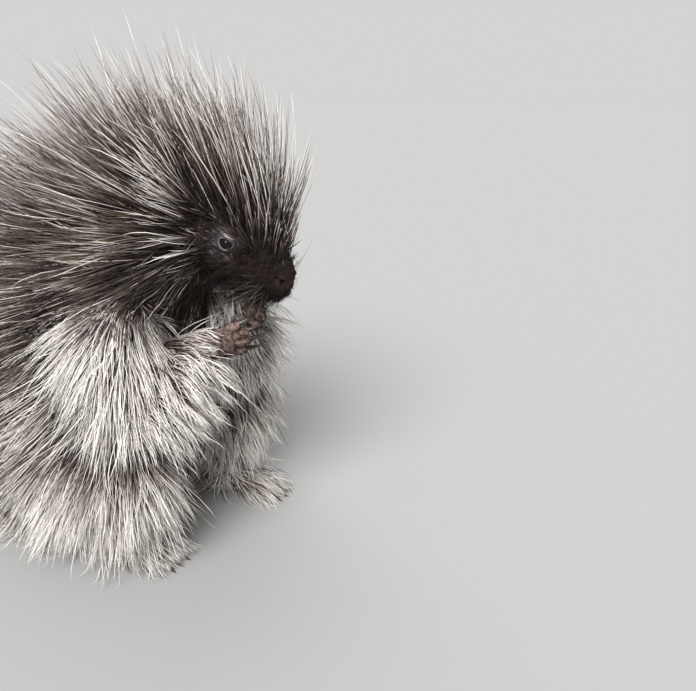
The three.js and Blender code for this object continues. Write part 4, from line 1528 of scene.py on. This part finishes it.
def make_eye(side, material):
    """An eyeball with a slight cornea, which knows how far each corner is from its middle."""
    look = EYE_WAY * (1, side, 1)
    centre = EYE * (1, side, 1)
    first = unit(np.cross(look, (0, 0, 1)))
    second = np.cross(look, first)
    points = []
    for i in range(EYE_ROWS + 1):
        a = math.pi * i / EYE_ROWS
        size = EYE_RADIUS + CORNEA_RISE * max(0.0, math.cos(a) - CORNEA_EDGE) / (1 - CORNEA_EDGE)
        for j in range(EYE_COLUMNS):
            b = 2 * math.pi * j / EYE_COLUMNS
            way = look * math.cos(a) + (first * math.cos(b) + second * math.sin(b)) * math.sin(a)
            points.append(centre + way * size)
    eye = new_mesh(f"eyeball_{SIDES[side]}", on_head(points), wall(EYE_ROWS, EYE_COLUMNS))
    bm = bmesh.new()
    bm.from_mesh(eye.data)
    bmesh.ops.remove_doubles(bm, verts=bm.verts, dist=1e-6)
    bmesh.ops.recalc_face_normals(bm, faces=bm.faces)
    bm.to_mesh(eye.data)
    bm.free()
    local = from_head(corners(eye.data)) - centre
    middle = np.degrees(np.arccos(np.clip(dot(unit(local), look), -1, 1)))
    put(eye.data, "middle", "FLOAT", middle / 90)
    eye.data.materials.append(material)
    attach(eye, "root")
    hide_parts(f"eye_{SIDES[side]}")


# From the pupil out, the middle of the eye at 0 and its edge at 1
IRIS = [
    (0.0, (0.002, 0.002, 0.002)), (0.34, (0.003, 0.002, 0.002)),
    (0.42, (0.016, 0.008, 0.005)), (0.8, (0.01, 0.006, 0.005)),
]
material, tree, shader = new_material("eye", Roughness=0.04, Specular_IOR_Level=0.22)
tree.links.new(ramp(tree, attribute(tree, "middle"), IRIS), shader.inputs["Base Color"])
for side in SIDES:
    make_eye(side, material)

# Claws

material, tree, shader = new_material("claw", Roughness=0.32)
HORN = [(0.3, (0.012, 0.009, 0.007)), (0.7, (0.05, 0.038, 0.028))]
streaks = ramp(tree, noise(tree, 60, 3, (1, 1, 6)), HORN)
tree.links.new(streaks, shader.inputs["Base Color"])
bump(tree, shader, noise(tree, 400, 2, (1, 6, 1)), 0.25, 0.0003)


def make_claws(leg, paw, material):
    """The claws of one paw as one piece."""
    bodies = []
    for _, way, tip in leg.digits:
        stations = []
        for ahead, drop, r in CLAW_LINE:
            point = tip + way * (leg.claw_long * ahead + 0.3) + leg.curl * leg.claw_long * drop
            stations.append((*point, r * CLAW_RADIUS * 0.86, r * CLAW_RADIUS))
        body, faces = Loft(stations, across=leg.across).mesh(sides=12, rings=14)
        body[:, 2] = np.maximum(body[:, 2], CLAW_FLOOR)
        bodies.append((body, faces))
    name = SIDES[leg.side]
    claws = new_mesh(f"claws_{paw}_{name}", *gathered(bodies))
    claws.data.materials.append(material)
    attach(claws, "root")
    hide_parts(*[f"{paw}_claw_{i + 1}_{name}" for i in range(len(leg.digits))])


for side in SIDES:
    make_claws(fore_legs[side], "fore", material)
    make_claws(hind_legs[side], "hind", material)

# Stage, light and camera

FLOOR_REACH = 20
FLOOR_SIDES = 96


def make_stage():
    """A wide flat pale floor."""
    turns = [2 * math.pi * j / FLOOR_SIDES for j in range(FLOOR_SIDES)]
    rim = [(FLOOR_REACH * math.cos(a) / MM, FLOOR_REACH * math.sin(a) / MM, 0) for a in turns]
    faces = [(0, 1 + j, 1 + (j + 1) % FLOOR_SIDES) for j in range(FLOOR_SIDES)]
    floor = new_mesh("studio_floor", [(0, 0, 0), *rim], faces)
    look = {"Roughness": 0.9, "Base_Color": (*FLOOR_GREY, 1), "Specular_IOR_Level": 0.0}
    floor.data.materials.append(new_material("studio_floor", **look)[0])


def make_sky():
    """Soft light from all round, palest low down, where it meets the floor."""
    world = bpy.data.worlds.new("studio")
    world.use_nodes = True
    tree = world.node_tree
    way = add_node(tree, "TexCoord").outputs["Generated"]
    height = add_node(tree, "SeparateXYZ", {0: way}).outputs["Z"]
    colour = ramp(tree, height, [(0.06, SKY_LOW), (0.6, SKY_HIGH)])
    tree.links.new(colour, tree.nodes["Background"].inputs["Color"])
    bpy.context.scene.world = world


def soft_sun(name, towards, strength, angle):
    """Parallel light from the way `towards` points, spread over `angle` degrees."""
    data = bpy.data.lights.new(name, "SUN")
    data.energy = strength
    data.angle = math.radians(angle)
    linked(name, data).rotation_euler = Vector(towards).to_track_quat("Z", "Y").to_euler()


def make_camera():
    turn, down = math.radians(CAMERA_TURN), math.radians(CAMERA_DOWN)
    level = math.cos(down)
    way = Vector((-math.sin(turn) * level, math.cos(turn) * level, -math.sin(down)))
    data = bpy.data.cameras.new("camera")
    data.sensor_width = SENSOR_MM
    data.lens = FOCAL_PIXELS / PHOTO_WIDTH * SENSOR_MM
    data.clip_start, data.clip_end = CAMERA_CLIP
    camera = linked("camera", data)
    camera.location = Vector(CAMERA_AT) * MM
    camera.rotation_euler = way.to_track_quat("-Z", "Y").to_euler()
    bpy.context.scene.camera = camera


bpy.context.scene.view_settings.view_transform = "Standard"
make_stage()
make_sky()
soft_sun("key", (0.3, -1.3, 1.25), 5.2, 36)
soft_sun("back", (-0.9, 0.9, 1.7), 1.3, 50)
make_camera()
